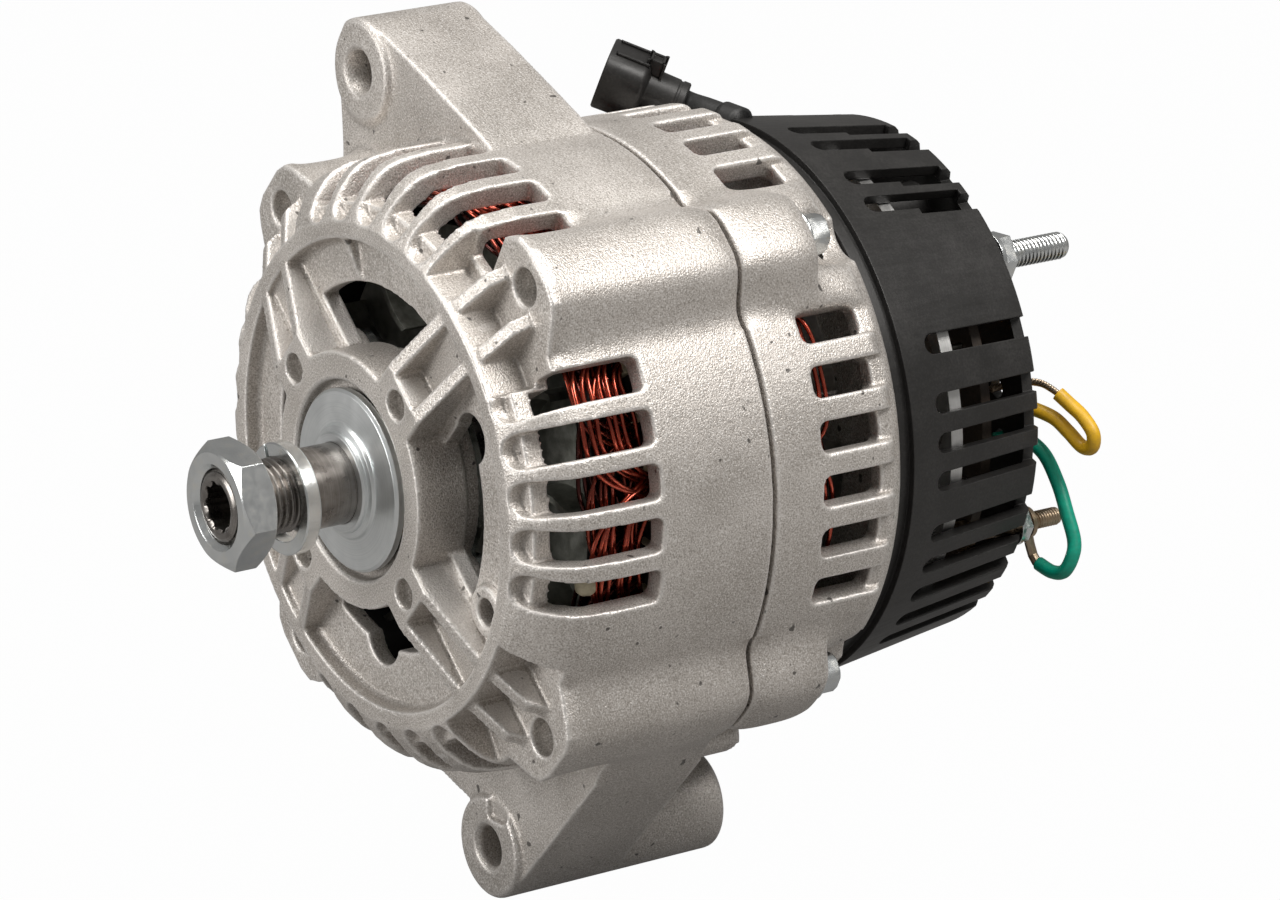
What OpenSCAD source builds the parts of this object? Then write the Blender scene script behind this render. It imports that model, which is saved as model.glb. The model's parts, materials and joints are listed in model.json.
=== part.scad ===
// Alternator with cast housings, slotted rear cover, and a turning rotor.
// The shaft lies along Y with its drive end towards -Y, and Z is up.
// The origin is the centre of the front hub face.

/* [Housings] */
// outside radius of both housings along the drum
drum_r = 66.3; // [60:0.1:75]
// wall thickness of the drum over the stator core
drum_wall = 4.1; // [3:0.1:6]
// depth of the joint between the housings behind the hub face
seam_y = 62; // [55:0.5:70]
// gap between the two housings at the joint
seam_gap = 0.9; // [0.4:0.1:2]
// depth of the rear face of the rear housing
rear_face_y = 97; // [92:0.5:105]
// depth of the seats of the bolt heads
bolt_seat_y = 89.8; // [86:0.1:94]

/* [Front hub] */
// radius of the raised hub plate
hub_r = 27.4; // [24:0.1:32]
// diameter of the opening in the hub
hub_bore_d = 42.6; // [38:0.1:48]
// circle through the four hub screws
hub_pcd = 57; // [50:0.5:65]
// entry diameter of the hub screw holes
hub_entry_d = 6.4; // [5.5:0.1:8]
// diameter of the hub screws
hub_screw_d = 5; // [4:0.5:6]
// depth of the recessed floor behind the hub face
floor_y = 8.5; // [6:0.1:12]
// thickness of the recessed floor
floor_t = 4; // [3:0.1:6]

/* [Front face] */
// depth of the front of the ring rib
ring_y = 5; // [3:0.1:8]
// distance of the ring rib in from the drum surface
ring_inset = 12.3; // [11:0.1:15]
// width of the ring rib across the radius
ring_w = 4; // [3:0.1:6]
// depth of the flat panels at the four corners
corner_y = 14.9; // [12:0.1:18]
// thickness of each spoke rib
rib_t = 3.2; // [2:0.1:5]
// distance of each spoke rib from the middle of its spoke
rib_offset = 5.9; // [4.5:0.1:8]

/* [Cooling slots] */
// width of the slots in the front housing
front_slot_w = 7.4; // [5:0.1:9]
// depth where the slots of the front housing end
front_slot_end = 34.2; // [28:0.1:38]
// width of the slots in the rear housing
rear_slot_w = 6.6; // [5:0.1:9]
// depth where the slots of the rear housing start
rear_slot_start = 74.5; // [72:0.5:80]
// depth where the slots of the rear housing end
rear_slot_end = 90.3; // [86:0.5:93]

/* [Mounting lugs] */
// sideways position of the upper lug hole
upper_lug_x = -43.5; // [-55:0.5:-30]
// height of the upper lug hole
upper_lug_z = 75.5; // [70:0.5:90]
// depth of the rear face of the upper lug
upper_lug_end = 61.3; // [50:0.1:61.5]
// sideways position of the lower lug hole
lower_lug_x = -3.9; // [-12:0.1:8]
// depth of the rear face of the lower lug
lower_lug_end = 87.6; // [70:0.1:95]
// height of the lower lug hole
lower_lug_z = -88.7; // [-98:0.1:-82]
// depth of the front faces of both lugs
lug_front_y = 33; // [30:0.5:36]
// depth of the front faces of the lug webs
web_y = 34.5; // [33:0.1:38]
// outside diameter of the lug bosses
lug_boss_d = 23; // [18:0.5:28]
// diameter of the holes through the lugs
lug_bore_d = 9; // [8:0.1:12]

/* [Through bolts] */
// radius of the circle through the four housing bolts
bolt_circle_r = 67.1; // [64:0.1:70]
// diameter of the housing bolts
bolt_d = 5; // [4:0.5:6]
// entry diameter of the corner holes in the front housing
corner_hole_d = 8.1; // [6:0.1:9]
// width across the flats of the bolt heads
bolt_head_af = 8; // [7:0.5:10]

/* [Bearings] */
// outside diameter of the front bearing
front_bearing_od = 40; // [35:1:47]
// inside diameter of the front bearing and size of the shaft there
front_bearing_id = 17; // [15:1:20]
// width of the front bearing
front_bearing_w = 12; // [10:1:14]
// depth of the front side of the front bearing
front_bearing_y = 4.2; // [3:0.1:6]
// outside diameter of the rear bearing
rear_bearing_od = 35; // [30:1:40]
// inside diameter of the rear bearing
rear_bearing_id = 15; // [12:1:17]
// width of the rear bearing
rear_bearing_w = 11; // [9:1:13]
// depth of the front side of the rear bearing
rear_bearing_y = 87; // [84:0.5:92]
// gap between the balls and their races
ball_gap = 0.05; // [0.02:0.01:0.1]

/* [Shaft] */
// diameter of the shaft in front of the hub
shaft_d = 17.3; // [15:0.1:20]
// outside diameter of the thread at the drive end
thread_d = 16; // [14:1:17]
// pitch of the thread at the drive end
thread_pitch = 1.5; // [1:0.25:2]
// reach of the shaft in front of the hub face
shaft_reach = 31.6; // [25:0.1:40]
// width across the flats of the shaft nut
nut_af = 24; // [22:1:27]
// thickness of the shaft nut
nut_t = 8; // [6:0.5:13]
// outside diameter of the thrust disc in the hub
disc_d = 39; // [34:0.5:42]

/* [Stator] */
// depth of the stator core across its radius
core_depth = 9.9; // [9:0.1:12]
// depth of the front end of the stator core
core_y = 37; // [36:0.5:40]
// length of the stator core
core_len = 34; // [28:0.5:38]
// number of winding slots
winding_slots = 36; // [24:12:48]
// gap between the rotor and the stator core
air_gap = 0.5; // [0.3:0.05:1]

/* [Rear cover] */
// outside radius of the cover at its front edge
cover_front_r = 62; // [60:0.1:64]
// outside radius of the cover at its rear rim
cover_rear_r = 57.4; // [54:0.1:61]
// depth of the rear rim of the cover
cover_end_y = 137.5; // [130:0.5:145]
// wall thickness of the cover
cover_wall = 2.3; // [1.8:0.1:3.5]
// depth where the slots of the cover start
cover_slot_y = 107.5; // [104:0.5:112]
// width of the slots of the cover
cover_slot_w = 4.4; // [3:0.1:6]

/* [Terminals] */
// diameter of the main terminal stud
stud_d = 6; // [5:1:8]
// how far the main terminal stud stands out of the cover
stud_out = 21.5; // [16:0.5:28]
// radius of the circle the main stud stands on
stud_r = 50; // [46:0.5:52]
// direction of the main stud round the shaft in degrees
stud_angle = 40; // [30:1:50]
// diameter of the small terminal stud
small_stud_d = 4; // [3:0.5:5]
// how far the small terminal stud stands out of the cover
small_stud_out = 13.5; // [9:0.5:18]
// width of the square plug of the lead
plug_w = 15; // [12:0.5:18]
// diameter of the black lead
lead_d = 6.4; // [5:0.1:8]
// diameter of the two thin wires
wire_d = 3.1; // [2:0.1:4]

/* [Brushes] */
// outside diameter of the slip rings
slip_ring_d = 15.6; // [14:0.1:20]
// how far each brush can be lifted
brush_travel = 4; // [2:0.5:6]

/* [Hidden] */
$fn = 64;
front_end = seam_y - seam_gap / 2;
rear_start = seam_y + seam_gap / 2;
core_r = drum_r - drum_wall;
core_end = core_y + core_len;
core_id = 2 * (core_r - core_depth);
ring_out_r = drum_r - ring_inset;
ring_in_r = ring_out_r - ring_w;
stud_end_y = cover_end_y + stud_out;
small_stud_end_y = cover_end_y + small_stud_out;
cover_shift = cover_end_y - 137.5;
pad_r = drum_r + 3.24;
shoulder_r = core_r - 1.1;
rotor_r = core_id / 2 - air_gap;
rotor_front = 31.4;
rotor_back = 76.6;
panel_t = 3;
nut_y = -shaft_reach - 0.4;
corners = [45, 135, 225, 315];
right_slots = [26, 16.3, 6.5, -3.2, -13];
top_slots = [57.5, 67.5, 77.5, 88, 98, 108];
left_slots = [156, 165, 173.5, 187, 197, 207];
bottom_slots = [-66, -78, -90, -102, -114];
rear_slot_angles = concat([28, 18, 8, -2, -12, -22], [62, 72, 82, 92, 102, 112],
    [152, 162, 172, 182, 192, 202], [242, 252, 262, 272, 282, 292]);
stud_x = stud_r * cos(stud_angle);
stud_z = stud_r * sin(stud_angle);
small_stud_x = 45.5;
small_stud_z = -25.5;
cover_y = rear_face_y + 0.3;
cover_step_y = cover_y + 3.2;
cover_back_r = 54.2;
plate_neg_y = 103;
plate_pos_y = 114;
plate_t = 3;
diode_angles_neg = [-76, -28, -8, 12];
diode_angles_pos = [-34, -16, 2, 20];
cover_stud_angles = [68, 188, 308];
cover_stud_r = 44;
race_front = (front_bearing_od + front_bearing_id) / 4;
race_rear = (rear_bearing_od + rear_bearing_id) / 4;
ball_front = 3.6;
ball_rear = 3.1;
pole_count = 6;
slip_ring_y = [107, 117];
slip_ring_w = 7;
brush_w = 5;
brush_h = 6.4;
brush_len = 11;
brush_gap = 0.05;
spring_back_x = -slip_ring_d / 2 - brush_gap - brush_len - brush_travel - 10.55;

// Makes a plate from a flat front view, reaching between two depths.
module plate(y0, y1) {
    translate([0, y1, 0])
        rotate([90, 0, 0])
            linear_extrude(y1 - y0)
                children();
}

// Spins an outline of radius and depth round the shaft line.
module spin() {
    rotate([-90, 0, 0])
        rotate_extrude($fn = 96)
            children();
}

// Turns a piece drawn along +X to an angle round the shaft line.
module turned(a) {
    rotate([0, -a, 0])
        children();
}

// Cuts or adds a flat shape (depth, sideways) between two radii at an angle.
module radial(a, r0, r1) {
    turned(a)
        translate([r0, 0, 0])
            rotate([90, 0, 90])
                linear_extrude(r1 - r0)
                    children();
}

// Extrudes a side view (radius, depth) sideways at an angle.
module side(a, off, t) {
    turned(a)
        translate([0, 0, off - t / 2])
            linear_extrude(t)
                children();
}

// A cylinder along the shaft direction at a place in the front view.
module rod(x, z, r, y0, y1, fn = 40) {
    translate([x, y0, z])
        rotate([-90, 0, 0])
            cylinder(r = r, h = y1 - y0, $fn = fn);
}

// A cone along the shaft direction, for countersinks and bevels.
module cone(x, z, r0, r1, y0, y1, fn = 40) {
    translate([x, y0, z])
        rotate([-90, 0, 0])
            cylinder(r1 = r0, r2 = r1, h = y1 - y0, $fn = fn);
}

// A flat rounded box between two corners.
module soft_box(x0, x1, y0, y1, r) {
    translate([x0 + r, y0])
        square([x1 - x0 - 2 * r, y1 - y0]);
    translate([x0, y0 + r])
        square([x1 - x0, y1 - y0 - 2 * r]);
    for (x = [x0 + r, x1 - r])
        for (y = [y0 + r, y1 - r])
            translate([x, y])
                circle(r, $fn = 24);
}

// A flat slot with a round inner end, reaching outward along X.
module open_slot(r0, r1, w) {
    translate([r0 + w / 2, 0])
        circle(w / 2, $fn = 32);
    translate([r0 + w / 2, -w / 2])
        square([r1 - r0 - w / 2, w]);
}

// A flat wedge between two angles out to a radius.
module wedge(a0, a1, r) {
    n = 4;
    polygon(concat([[0, 0]], [for (i = [0:n])
        let (a = a0 + (a1 - a0) * i / n) [r * cos(a), r * sin(a)]]));
}

// A flat ring sector.
module sector(r0, r1, a0, a1) {
    intersection() {
        difference() {
            circle(r1, $fn = 96);
            circle(r0, $fn = 96);
        }
        wedge(a0, a1, r1 * 1.5);
    }
}

// Rounded outline of one corner ridge, drawn along +X.
module ridge_2d(grow = 0) {
    w = 10.6 + grow;
    top = bolt_circle_r + 7.1 + grow;
    low = drum_r - 4.3;
    polygon([[low - 12, -16 - grow], [low, -15.4 - grow], [top - 4, -w], [top - 1.2, -w + 2.2],
        [top, -w + 6], [top, w - 6], [top - 1.2, w - 2.2], [top - 4, w],
        [low, 15.4 + grow], [low - 12, 16 + grow]]);
}

// Front view of the hub plate with its four broad arms.
module hub_2d() {
    circle(hub_r);
    for (a = corners)
        rotate(a) {
            translate([0, -rib_offset - rib_t / 2 + 0.1])
                square([33, 2 * rib_offset + rib_t - 0.2]);
            translate([22, -rib_offset - rib_t / 2 - 1.2])
                circle(3.2);
            translate([22, rib_offset + rib_t / 2 + 1.2])
                circle(3.2);
        }
}

// Front view of one window, opening towards +X.
module window_2d(r_out, lobe_x, lobe_z, lobe_r) {
    g = (rib_offset + rib_t / 2 + 2) * sqrt(2);
    difference() {
        union() {
            intersection() {
                circle(r_out);
                polygon([[g, 0], [g + 60, 60], [g + 60, -60]]);
            }
            translate([lobe_x, lobe_z])
                circle(lobe_r);
        }
        circle(hub_r - 0.6);
    }
}

// Front view of the upper lug web.
module upper_web_2d() {
    x = upper_lug_x;
    z = upper_lug_z;
    r = lug_boss_d / 2;
    polygon([[x - r, z], [x - r, 35], [-20, 52], [14, 62], [2, 68.4], [-5.5, 71.8],
        [-14, 75.6], [-24, 80], [x + r * 0.36, z + r * 0.93], [x, z + r * 0.9]]);
}

// Front view of the lower lug web.
module lower_web_2d() {
    x = lower_lug_x;
    z = lower_lug_z;
    r = lug_boss_d / 2;
    polygon([[x - r * 0.99, z], [x - r * 0.72, z + r * 0.7], [-27.7, -75.8], [-47, -57],
        [-30, -50], [30, -50], [46.5, -55.5], [27, -74.6], [x + r * 0.7, z - r * 0.7],
        [x, z - r * 0.85]]);
}

// One cooling slot of the front housing: a channel and the opening behind it.
module front_slot(a) {
    turned(a)
        plate(-1, floor_y)
            open_slot(ring_out_r, 84, front_slot_w - 0.4);
    radial(a, ring_out_r + 3.4, 82)
        soft_box(-4, front_slot_end, -front_slot_w / 2, front_slot_w / 2, 1.6);
}

// Hole for a housing bolt with its entry at the front.
module corner_hole(a) {
    x = bolt_circle_r * cos(a);
    z = bolt_circle_r * sin(a);
    rod(x, z, corner_hole_d / 2, 10, corner_y + 7);
    rod(x, z, bolt_d / 2 + 0.1, 10, 34);
    rod(x, z, bolt_d / 2 + 0.5, 34, 100);
}

// Outside of the front housing with its corner ridges and lugs, still without openings.
module front_outside() {
    spin()
        polygon([[20, floor_y], [ring_in_r - 0.9, floor_y],
            [ring_in_r, floor_y - 0.9], [ring_in_r + 0.2, ring_y],
            [ring_out_r, ring_y], [ring_out_r + 2.6, 6.1], [ring_out_r + 6.2, 8.7],
            [drum_r - 3.4, 11.4], [drum_r - 1.7, 14], [drum_r - 0.7, 17.4], [drum_r, 24],
            [drum_r, front_end], [20, front_end]]);
    plate(corner_y, front_end)
        for (a = corners)
            rotate(a)
                ridge_2d();
    plate(web_y, upper_lug_end - 0.9)
        upper_web_2d();
    plate(web_y, front_end)
        lower_web_2d();
    lug_boss(upper_lug_x, upper_lug_z, upper_lug_end);
    lug_boss(lower_lug_x, lower_lug_z, lower_lug_end);
}

// Round boss of a lug with softened front and rear edges.
module lug_boss(x, z, y_end) {
    r = lug_boss_d / 2;
    translate([x, 0, z])
        spin()
            polygon([[0, lug_front_y], [r - 0.8, lug_front_y], [r, lug_front_y + 0.8],
                [r, y_end - 0.8], [r - 0.8, y_end], [0, y_end]]);
}

// Room inside the front housing for the stator core, fan and winding.
module front_cavity() {
    spin()
        polygon([[0, floor_y + floor_t], [ring_out_r + 3, floor_y + floor_t],
            [shoulder_r, 18.2], [shoulder_r, core_y], [core_r, core_y],
            [core_r, seam_y + 2], [0, seam_y + 2]]);
}

// Corner recesses, cooling slots and windows of the front housing.
module front_openings() {
    for (a = corners)
        plate(-1, corner_y)
            rotate(a)
                sector(ring_out_r, 90, -16.5, 16.5);
    for (a = concat(right_slots, top_slots, left_slots, bottom_slots))
        front_slot(a);
    plate(-1, 30) {
        window_2d(ring_in_r - 11.6, 34.6, 14.4, 5.4);
        rotate(90)
            window_2d(ring_in_r - 9.4, 33, -13, 5.4);
        rotate(180)
            window_2d(ring_in_r - 9, 34, 12, 5.4);
        rotate(-90)
            window_2d(ring_in_r - 12, 36.4, -3, 6);
    }
}

// Solid left behind the recess of one corner when the inside is hollowed out.
module corner_panel(a) {
    plate(floor_y + floor_t - 1, corner_y + panel_t)
        rotate(a)
            sector(ring_out_r - 3.5, shoulder_r + 1.9, -17.4, 17.4);
}

// Two spoke ribs that run out to one corner, with the raised floor between them.
module spoke(a) {
    back = floor_y + floor_t - 1;
    for (s = [-1, 1])
        side(a, s * rib_offset, rib_t)
            polygon([[26, 0.3], [33.6, 0.3], [ring_in_r + 1, 5.2], [drum_r - 3.8, 10.8],
                [drum_r - 1.9, corner_y - 0.4], [drum_r - 1.9, corner_y + 1],
                [ring_in_r + 1, corner_y + 1], [ring_in_r - 4, back], [26, back]]);
    plate(6.5, back)
        rotate(a)
            translate([26, -rib_offset])
                square([ring_in_r - 24.5, 2 * rib_offset]);
}

// Hub plate with the bearing seat behind it and the small bosses on the floor.
module front_hub() {
    difference() {
        plate(0, floor_y + floor_t - 0.6)
            hub_2d();
        for (a = corners)
            plate(-1, 6.4)
                rotate(a)
                    open_slot(33.2, 52, 2 * rib_offset - rib_t - 0.2);
    }
    plate(floor_y, front_bearing_y + front_bearing_w) {
        circle(25.5);
        for (a = corners)
            rotate(a)
                translate([hub_pcd / 2, 0])
                    circle(6.2);
    }
    rod(40.9, -20.6, 5.6, 6.6, floor_y + 1.5);
    side(98, 0, 2)
        polygon([[41, floor_y + 1], [41, 8], [ring_in_r + 1, ring_y + 0.4],
            [ring_in_r + 1, floor_y + 1]]);
}

// Bearing seat, screw holes, corner holes and lug holes of the front housing.
module front_holes() {
    spin()
        polygon([[0, -1], [hub_bore_d / 2 + 0.5, -1], [hub_bore_d / 2 + 0.5, 0],
            [hub_bore_d / 2, 0.5], [hub_bore_d / 2, 3], [18.4, 3],
            [18.4, front_bearing_y], [front_bearing_od / 2, front_bearing_y],
            [front_bearing_od / 2, 40], [0, 40]]);
    for (a = corners) {
        rod(hub_pcd / 2 * cos(a), hub_pcd / 2 * sin(a), hub_entry_d / 2, -1, 3);
        rod(hub_pcd / 2 * cos(a), hub_pcd / 2 * sin(a), hub_screw_d / 2 + 0.1, -1, 20);
        corner_hole(a);
    }
    rod(40.9, -20.6, 3, 2, 20);
    for (p = [[upper_lug_x, upper_lug_z, upper_lug_end],
            [lower_lug_x, lower_lug_z, lower_lug_end]]) {
        rod(p[0], p[1], lug_bore_d / 2, 30, 100, 48);
        cone(p[0], p[1], lug_bore_d / 2 + 1.5, lug_bore_d / 2 - 0.5, lug_front_y - 0.5,
            lug_front_y + 1.5, 48);
        cone(p[0], p[1], lug_bore_d / 2 - 0.5, lug_bore_d / 2 + 1.5, p[2] - 1.5, p[2] + 0.5, 48);
    }
}

module front_housing() color([0.76, 0.75, 0.72])
    difference() {
        union() {
            difference() {
                front_outside();
                difference() {
                    front_cavity();
                    for (a = corners)
                        corner_panel(a);
                }
                front_openings();
            }
            union() {
                for (a = corners)
                    spoke(a);
                front_hub();
            }
        }
        front_holes();
    }

// One cooling slot of the rear housing with the shallow step behind it.
module rear_slot(a) {
    radial(a, drum_r - 10.3, 80)
        soft_box(rear_slot_start, rear_slot_end, -rear_slot_w / 2, rear_slot_w / 2, 1.6);
    radial(a, drum_r - 2.2, 80)
        translate([rear_slot_start + 4, -rear_slot_w / 2])
            square([30, rear_slot_w]);
}

module rear_housing() color([0.76, 0.75, 0.72])
    difference() {
        union() {
            difference() {
                union() {
                    spin()
                        polygon([[15, rear_start], [drum_r, rear_start], [drum_r, 91],
                            [drum_r - 0.8, 92.8], [drum_r - 1.9, 93.4], [drum_r - 2.9, 95.6],
                            [drum_r - 3.9, 96.6], [drum_r - 4.9, rear_face_y],
                            [15, rear_face_y]]);
                    plate(rear_start, bolt_seat_y)
                        for (a = corners)
                            rotate(a)
                                ridge_2d();
                    rod(pad_r * cos(-67), pad_r * sin(-67), 3.6, rear_start, 76, 32);
                }
                spin()
                    polygon([[0, rear_start - 1], [core_r, rear_start - 1], [core_r, core_end],
                        [shoulder_r, core_end], [shoulder_r, 88.4], [shoulder_r - 1.7, rear_face_y - 4.4],
                        [0, rear_face_y - 4.4]]);
                for (a = rear_slot_angles)
                    rear_slot(a);
                plate(85, 110)
                    for (i = [0:5])
                        rotate(60 * i + 15)
                            difference() {
                                sector(27, 47, 0, 46);
                                translate([26, -2])
                                    square([3, 4]);
                            }
            }
            plate(rear_bearing_y - 1, rear_face_y + 2)
                circle(22);
        }
        spin()
            polygon([[0, 60], [rear_bearing_od / 2, 60],
                [rear_bearing_od / 2, rear_bearing_y + rear_bearing_w],
                [rear_bearing_od / 2 - 2.5, rear_bearing_y + rear_bearing_w],
                [rear_bearing_od / 2 - 2.5, 120], [0, 120]]);
        for (a = corners) {
            rod(bolt_circle_r * cos(a), bolt_circle_r * sin(a), bolt_d / 2 + 0.5, 40, 100);
            rod(bolt_circle_r * cos(a), bolt_circle_r * sin(a), 7.2, bolt_seat_y, 110);
        }
        for (a = cover_stud_angles)
            rod(cover_stud_r * cos(a), cover_stud_r * sin(a), 2.6, 90, 110, 32);
    }

module through_bolts() color([0.72, 0.76, 0.78])
    for (a = corners) {
        x = bolt_circle_r * cos(a);
        z = bolt_circle_r * sin(a);
        rod(x, z, bolt_d / 2, corner_y + 4, bolt_seat_y);
        rod(x, z, bolt_head_af / 2 + 1.4, bolt_seat_y, bolt_seat_y + 1.2);
        intersection() {
            rod(x, z, bolt_head_af / 2 / cos(30), bolt_seat_y + 1.2, bolt_seat_y + 5.6, 6);
            cone(x, z, 8, 3.6, bolt_seat_y - 1, bolt_seat_y + 6.4);
        }
    }

module retainer_plate() color([0.66, 0.67, 0.68])
    plate(front_bearing_y + front_bearing_w, front_bearing_y + front_bearing_w + 2.2)
        difference() {
            union() {
                circle(24);
                for (a = corners)
                    rotate(a)
                        translate([hub_pcd / 2, 0])
                            circle(5.6);
            }
            circle(15.5);
            for (a = corners)
                rotate(a)
                    translate([hub_pcd / 2, 0])
                        circle(hub_screw_d / 2 + 0.3);
        }

module retainer_screws() color([0.72, 0.74, 0.76])
    for (a = corners) {
        x = hub_pcd / 2 * cos(a);
        z = hub_pcd / 2 * sin(a);
        back = front_bearing_y + front_bearing_w + 2.2;
        rod(x, z, hub_screw_d / 2, 4.6, back);
        difference() {
            cone(x, z, 4.6, 3.4, back, back + 2.6);
            rod(x, z, 1.6, back + 1, back + 4, 6);
        }
    }

// One bearing ring with a groove for the balls.
module race(r0, r1, y0, w, pitch, ball, inner) {
    difference() {
        spin()
            polygon([[r0, y0 + 0.5], [r0 + 0.5, y0], [r1 - 0.5, y0], [r1, y0 + 0.5],
                [r1, y0 + w - 0.5], [r1 - 0.5, y0 + w], [r0 + 0.5, y0 + w],
                [r0, y0 + w - 0.5]]);
        spin()
            translate([pitch, y0 + w / 2])
                circle(ball + ball_gap, $fn = 40);
    }
}

module front_outer_race() color([0.7, 0.71, 0.72])
    race(race_front + 2, front_bearing_od / 2, front_bearing_y, front_bearing_w, race_front,
        ball_front, false);

module rear_outer_race() color([0.7, 0.71, 0.72])
    race(race_rear + 1.7, rear_bearing_od / 2, rear_bearing_y, rear_bearing_w, race_rear,
        ball_rear, false);

module front_inner_race() color([0.7, 0.71, 0.72])
    race(front_bearing_id / 2, race_front - 2, front_bearing_y, front_bearing_w, race_front,
        ball_front, true);

module rear_inner_race() color([0.7, 0.71, 0.72])
    race(rear_bearing_id / 2, race_rear - 1.7, rear_bearing_y, rear_bearing_w, race_rear,
        ball_rear, true);

// Ring of balls round the shaft line.
module balls(pitch, r, y, count) {
    for (i = [0:count - 1])
        turned(360 / count * i)
            translate([pitch, y, 0])
                rotate([-90, 0, 0])
                    sphere(r, $fn = 32);
}

// Ball cage: a thin ring with a pocket for each ball.
module cage(pitch, r, y, w, count) {
    difference() {
        spin()
            polygon([[pitch - 0.9, y - w / 2], [pitch + 0.9, y - w / 2],
                [pitch + 0.9, y + w / 2], [pitch - 0.9, y + w / 2]]);
        for (i = [0:count - 1])
            turned(360 / count * i)
                translate([pitch, y, 0])
                    rotate([-90, 0, 0])
                        sphere(r + 0.02, $fn = 32);
    }
}

module front_balls() color([0.8, 0.81, 0.82])
    balls(race_front, ball_front, front_bearing_y + front_bearing_w / 2, 8);

module front_cage() color([0.55, 0.45, 0.3])
    cage(race_front, ball_front, front_bearing_y + front_bearing_w / 2, 9, 8);

module rear_balls() color([0.8, 0.81, 0.82])
    balls(race_rear, ball_rear, rear_bearing_y + rear_bearing_w / 2, 8);

module rear_cage() color([0.55, 0.45, 0.3])
    cage(race_rear, ball_rear, rear_bearing_y + rear_bearing_w / 2, 8, 8);

// Flat view of the opening of one winding slot, drawn along +X.
module winding_slot_2d() {
    translate([core_id / 2 + 1.4, -2.6])
        square([5.4, 5.2]);
    translate([core_id / 2 - 1, -1.1])
        square([3, 2.2]);
}

module stator_core() color([0.32, 0.31, 0.3])
    plate(core_y, core_end)
        difference() {
            circle(core_r, $fn = 96);
            circle(core_id / 2, $fn = 96);
            for (i = [0:winding_slots - 1])
                rotate(360 / winding_slots * i)
                    winding_slot_2d();
            for (a = corners)
                rotate(a)
                    translate([bolt_circle_r, 0])
                        circle(bolt_d / 2 + 0.5);
        }

module slot_insulation() color([0.88, 0.84, 0.72])
    for (i = [0:winding_slots - 1])
        turned(360 / winding_slots * i)
            plate(core_y - 2, core_end + 2)
                difference() {
                    translate([core_id / 2 + 1.6, -2.6])
                        square([5.2, 5.2]);
                    translate([core_id / 2 + 1, -2.2])
                        square([5.4, 4.4]);
                }

// Bars in the slots with a ribbed ring of end turns at each side.
module stator_windings() color([0.55, 0.2, 0.12]) {
    for (i = [0:winding_slots - 1])
        turned(360 / winding_slots * i)
            plate(core_y - 3, core_end + 3)
                translate([core_id / 2 + 2, -2.1])
                    square([4.3, 4.2]);
    winding_head(core_y - 2.6, 20, 1);
    winding_head(core_end + 2.6, 87, -1);
}

// Ring of end turns, grooved between the bundles of wire.
module winding_head(y_in, y_out, dir) {
    r = core_id / 2;
    difference() {
        spin()
            polygon([[r + 1.3, y_in], [r + 1.1, y_out + dir * 3], [r + 2.3, y_out + dir * 0.8],
                [r + 3.7, y_out], [r + 5.3, y_out + dir * 0.4], [r + 6.9, y_out + dir * 2.4],
                [r + 7.9, y_out + dir * 6], [r + 7.7, y_in]]);
        for (i = [0:winding_slots - 1])
            turned(360 / winding_slots * (i + 0.5)) {
                translate([r + 7.3, (y_in + y_out) / 2, 0])
                    rotate([dir * 12, 0, 0])
                        cube([3, abs(y_in - y_out) - 5, 1.6], center = true);
                translate([r + 4.2, y_out, 0])
                    cube([9, 3.4, 1.6], center = true);
            }
        for (a = corners)
            rod(bolt_circle_r * cos(a), bolt_circle_r * sin(a), bolt_d / 2 + 0.5, 15, 92);
    }
}

// Side view of the cover wall.
module cover_profile() {
    w = cover_wall;
    polygon([[cover_front_r - 1.7 - w, cover_y], [cover_front_r - 1.7, cover_y],
        [cover_front_r - 1.7, cover_step_y], [cover_front_r, cover_step_y],
        [cover_rear_r, cover_end_y - 1], [cover_rear_r - 1, cover_end_y],
        [cover_back_r, cover_end_y + 0.6], [16, cover_end_y + 0.6], [16, cover_end_y - 2],
        [cover_rear_r - w - 1, cover_end_y - 2], [cover_rear_r - w, cover_end_y - 3],
        [cover_front_r - w - 0.2, cover_step_y + 0.4]]);
}

// One slot of the cover, open at the rear rim.
module cover_slot(a, shift = 0) {
    radial(a, 51, 75) {
        translate([cover_slot_y + cover_slot_w / 2, 0])
            circle(cover_slot_w / 2, $fn = 24);
        translate([cover_slot_y + cover_slot_w / 2, -cover_slot_w / 2])
            square([cover_end_y - cover_slot_y - 5, cover_slot_w]);
    }
    radial(a - shift, cover_back_r, 75)
        translate([121, -cover_slot_w / 2])
            square([30, cover_slot_w]);
}

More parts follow.
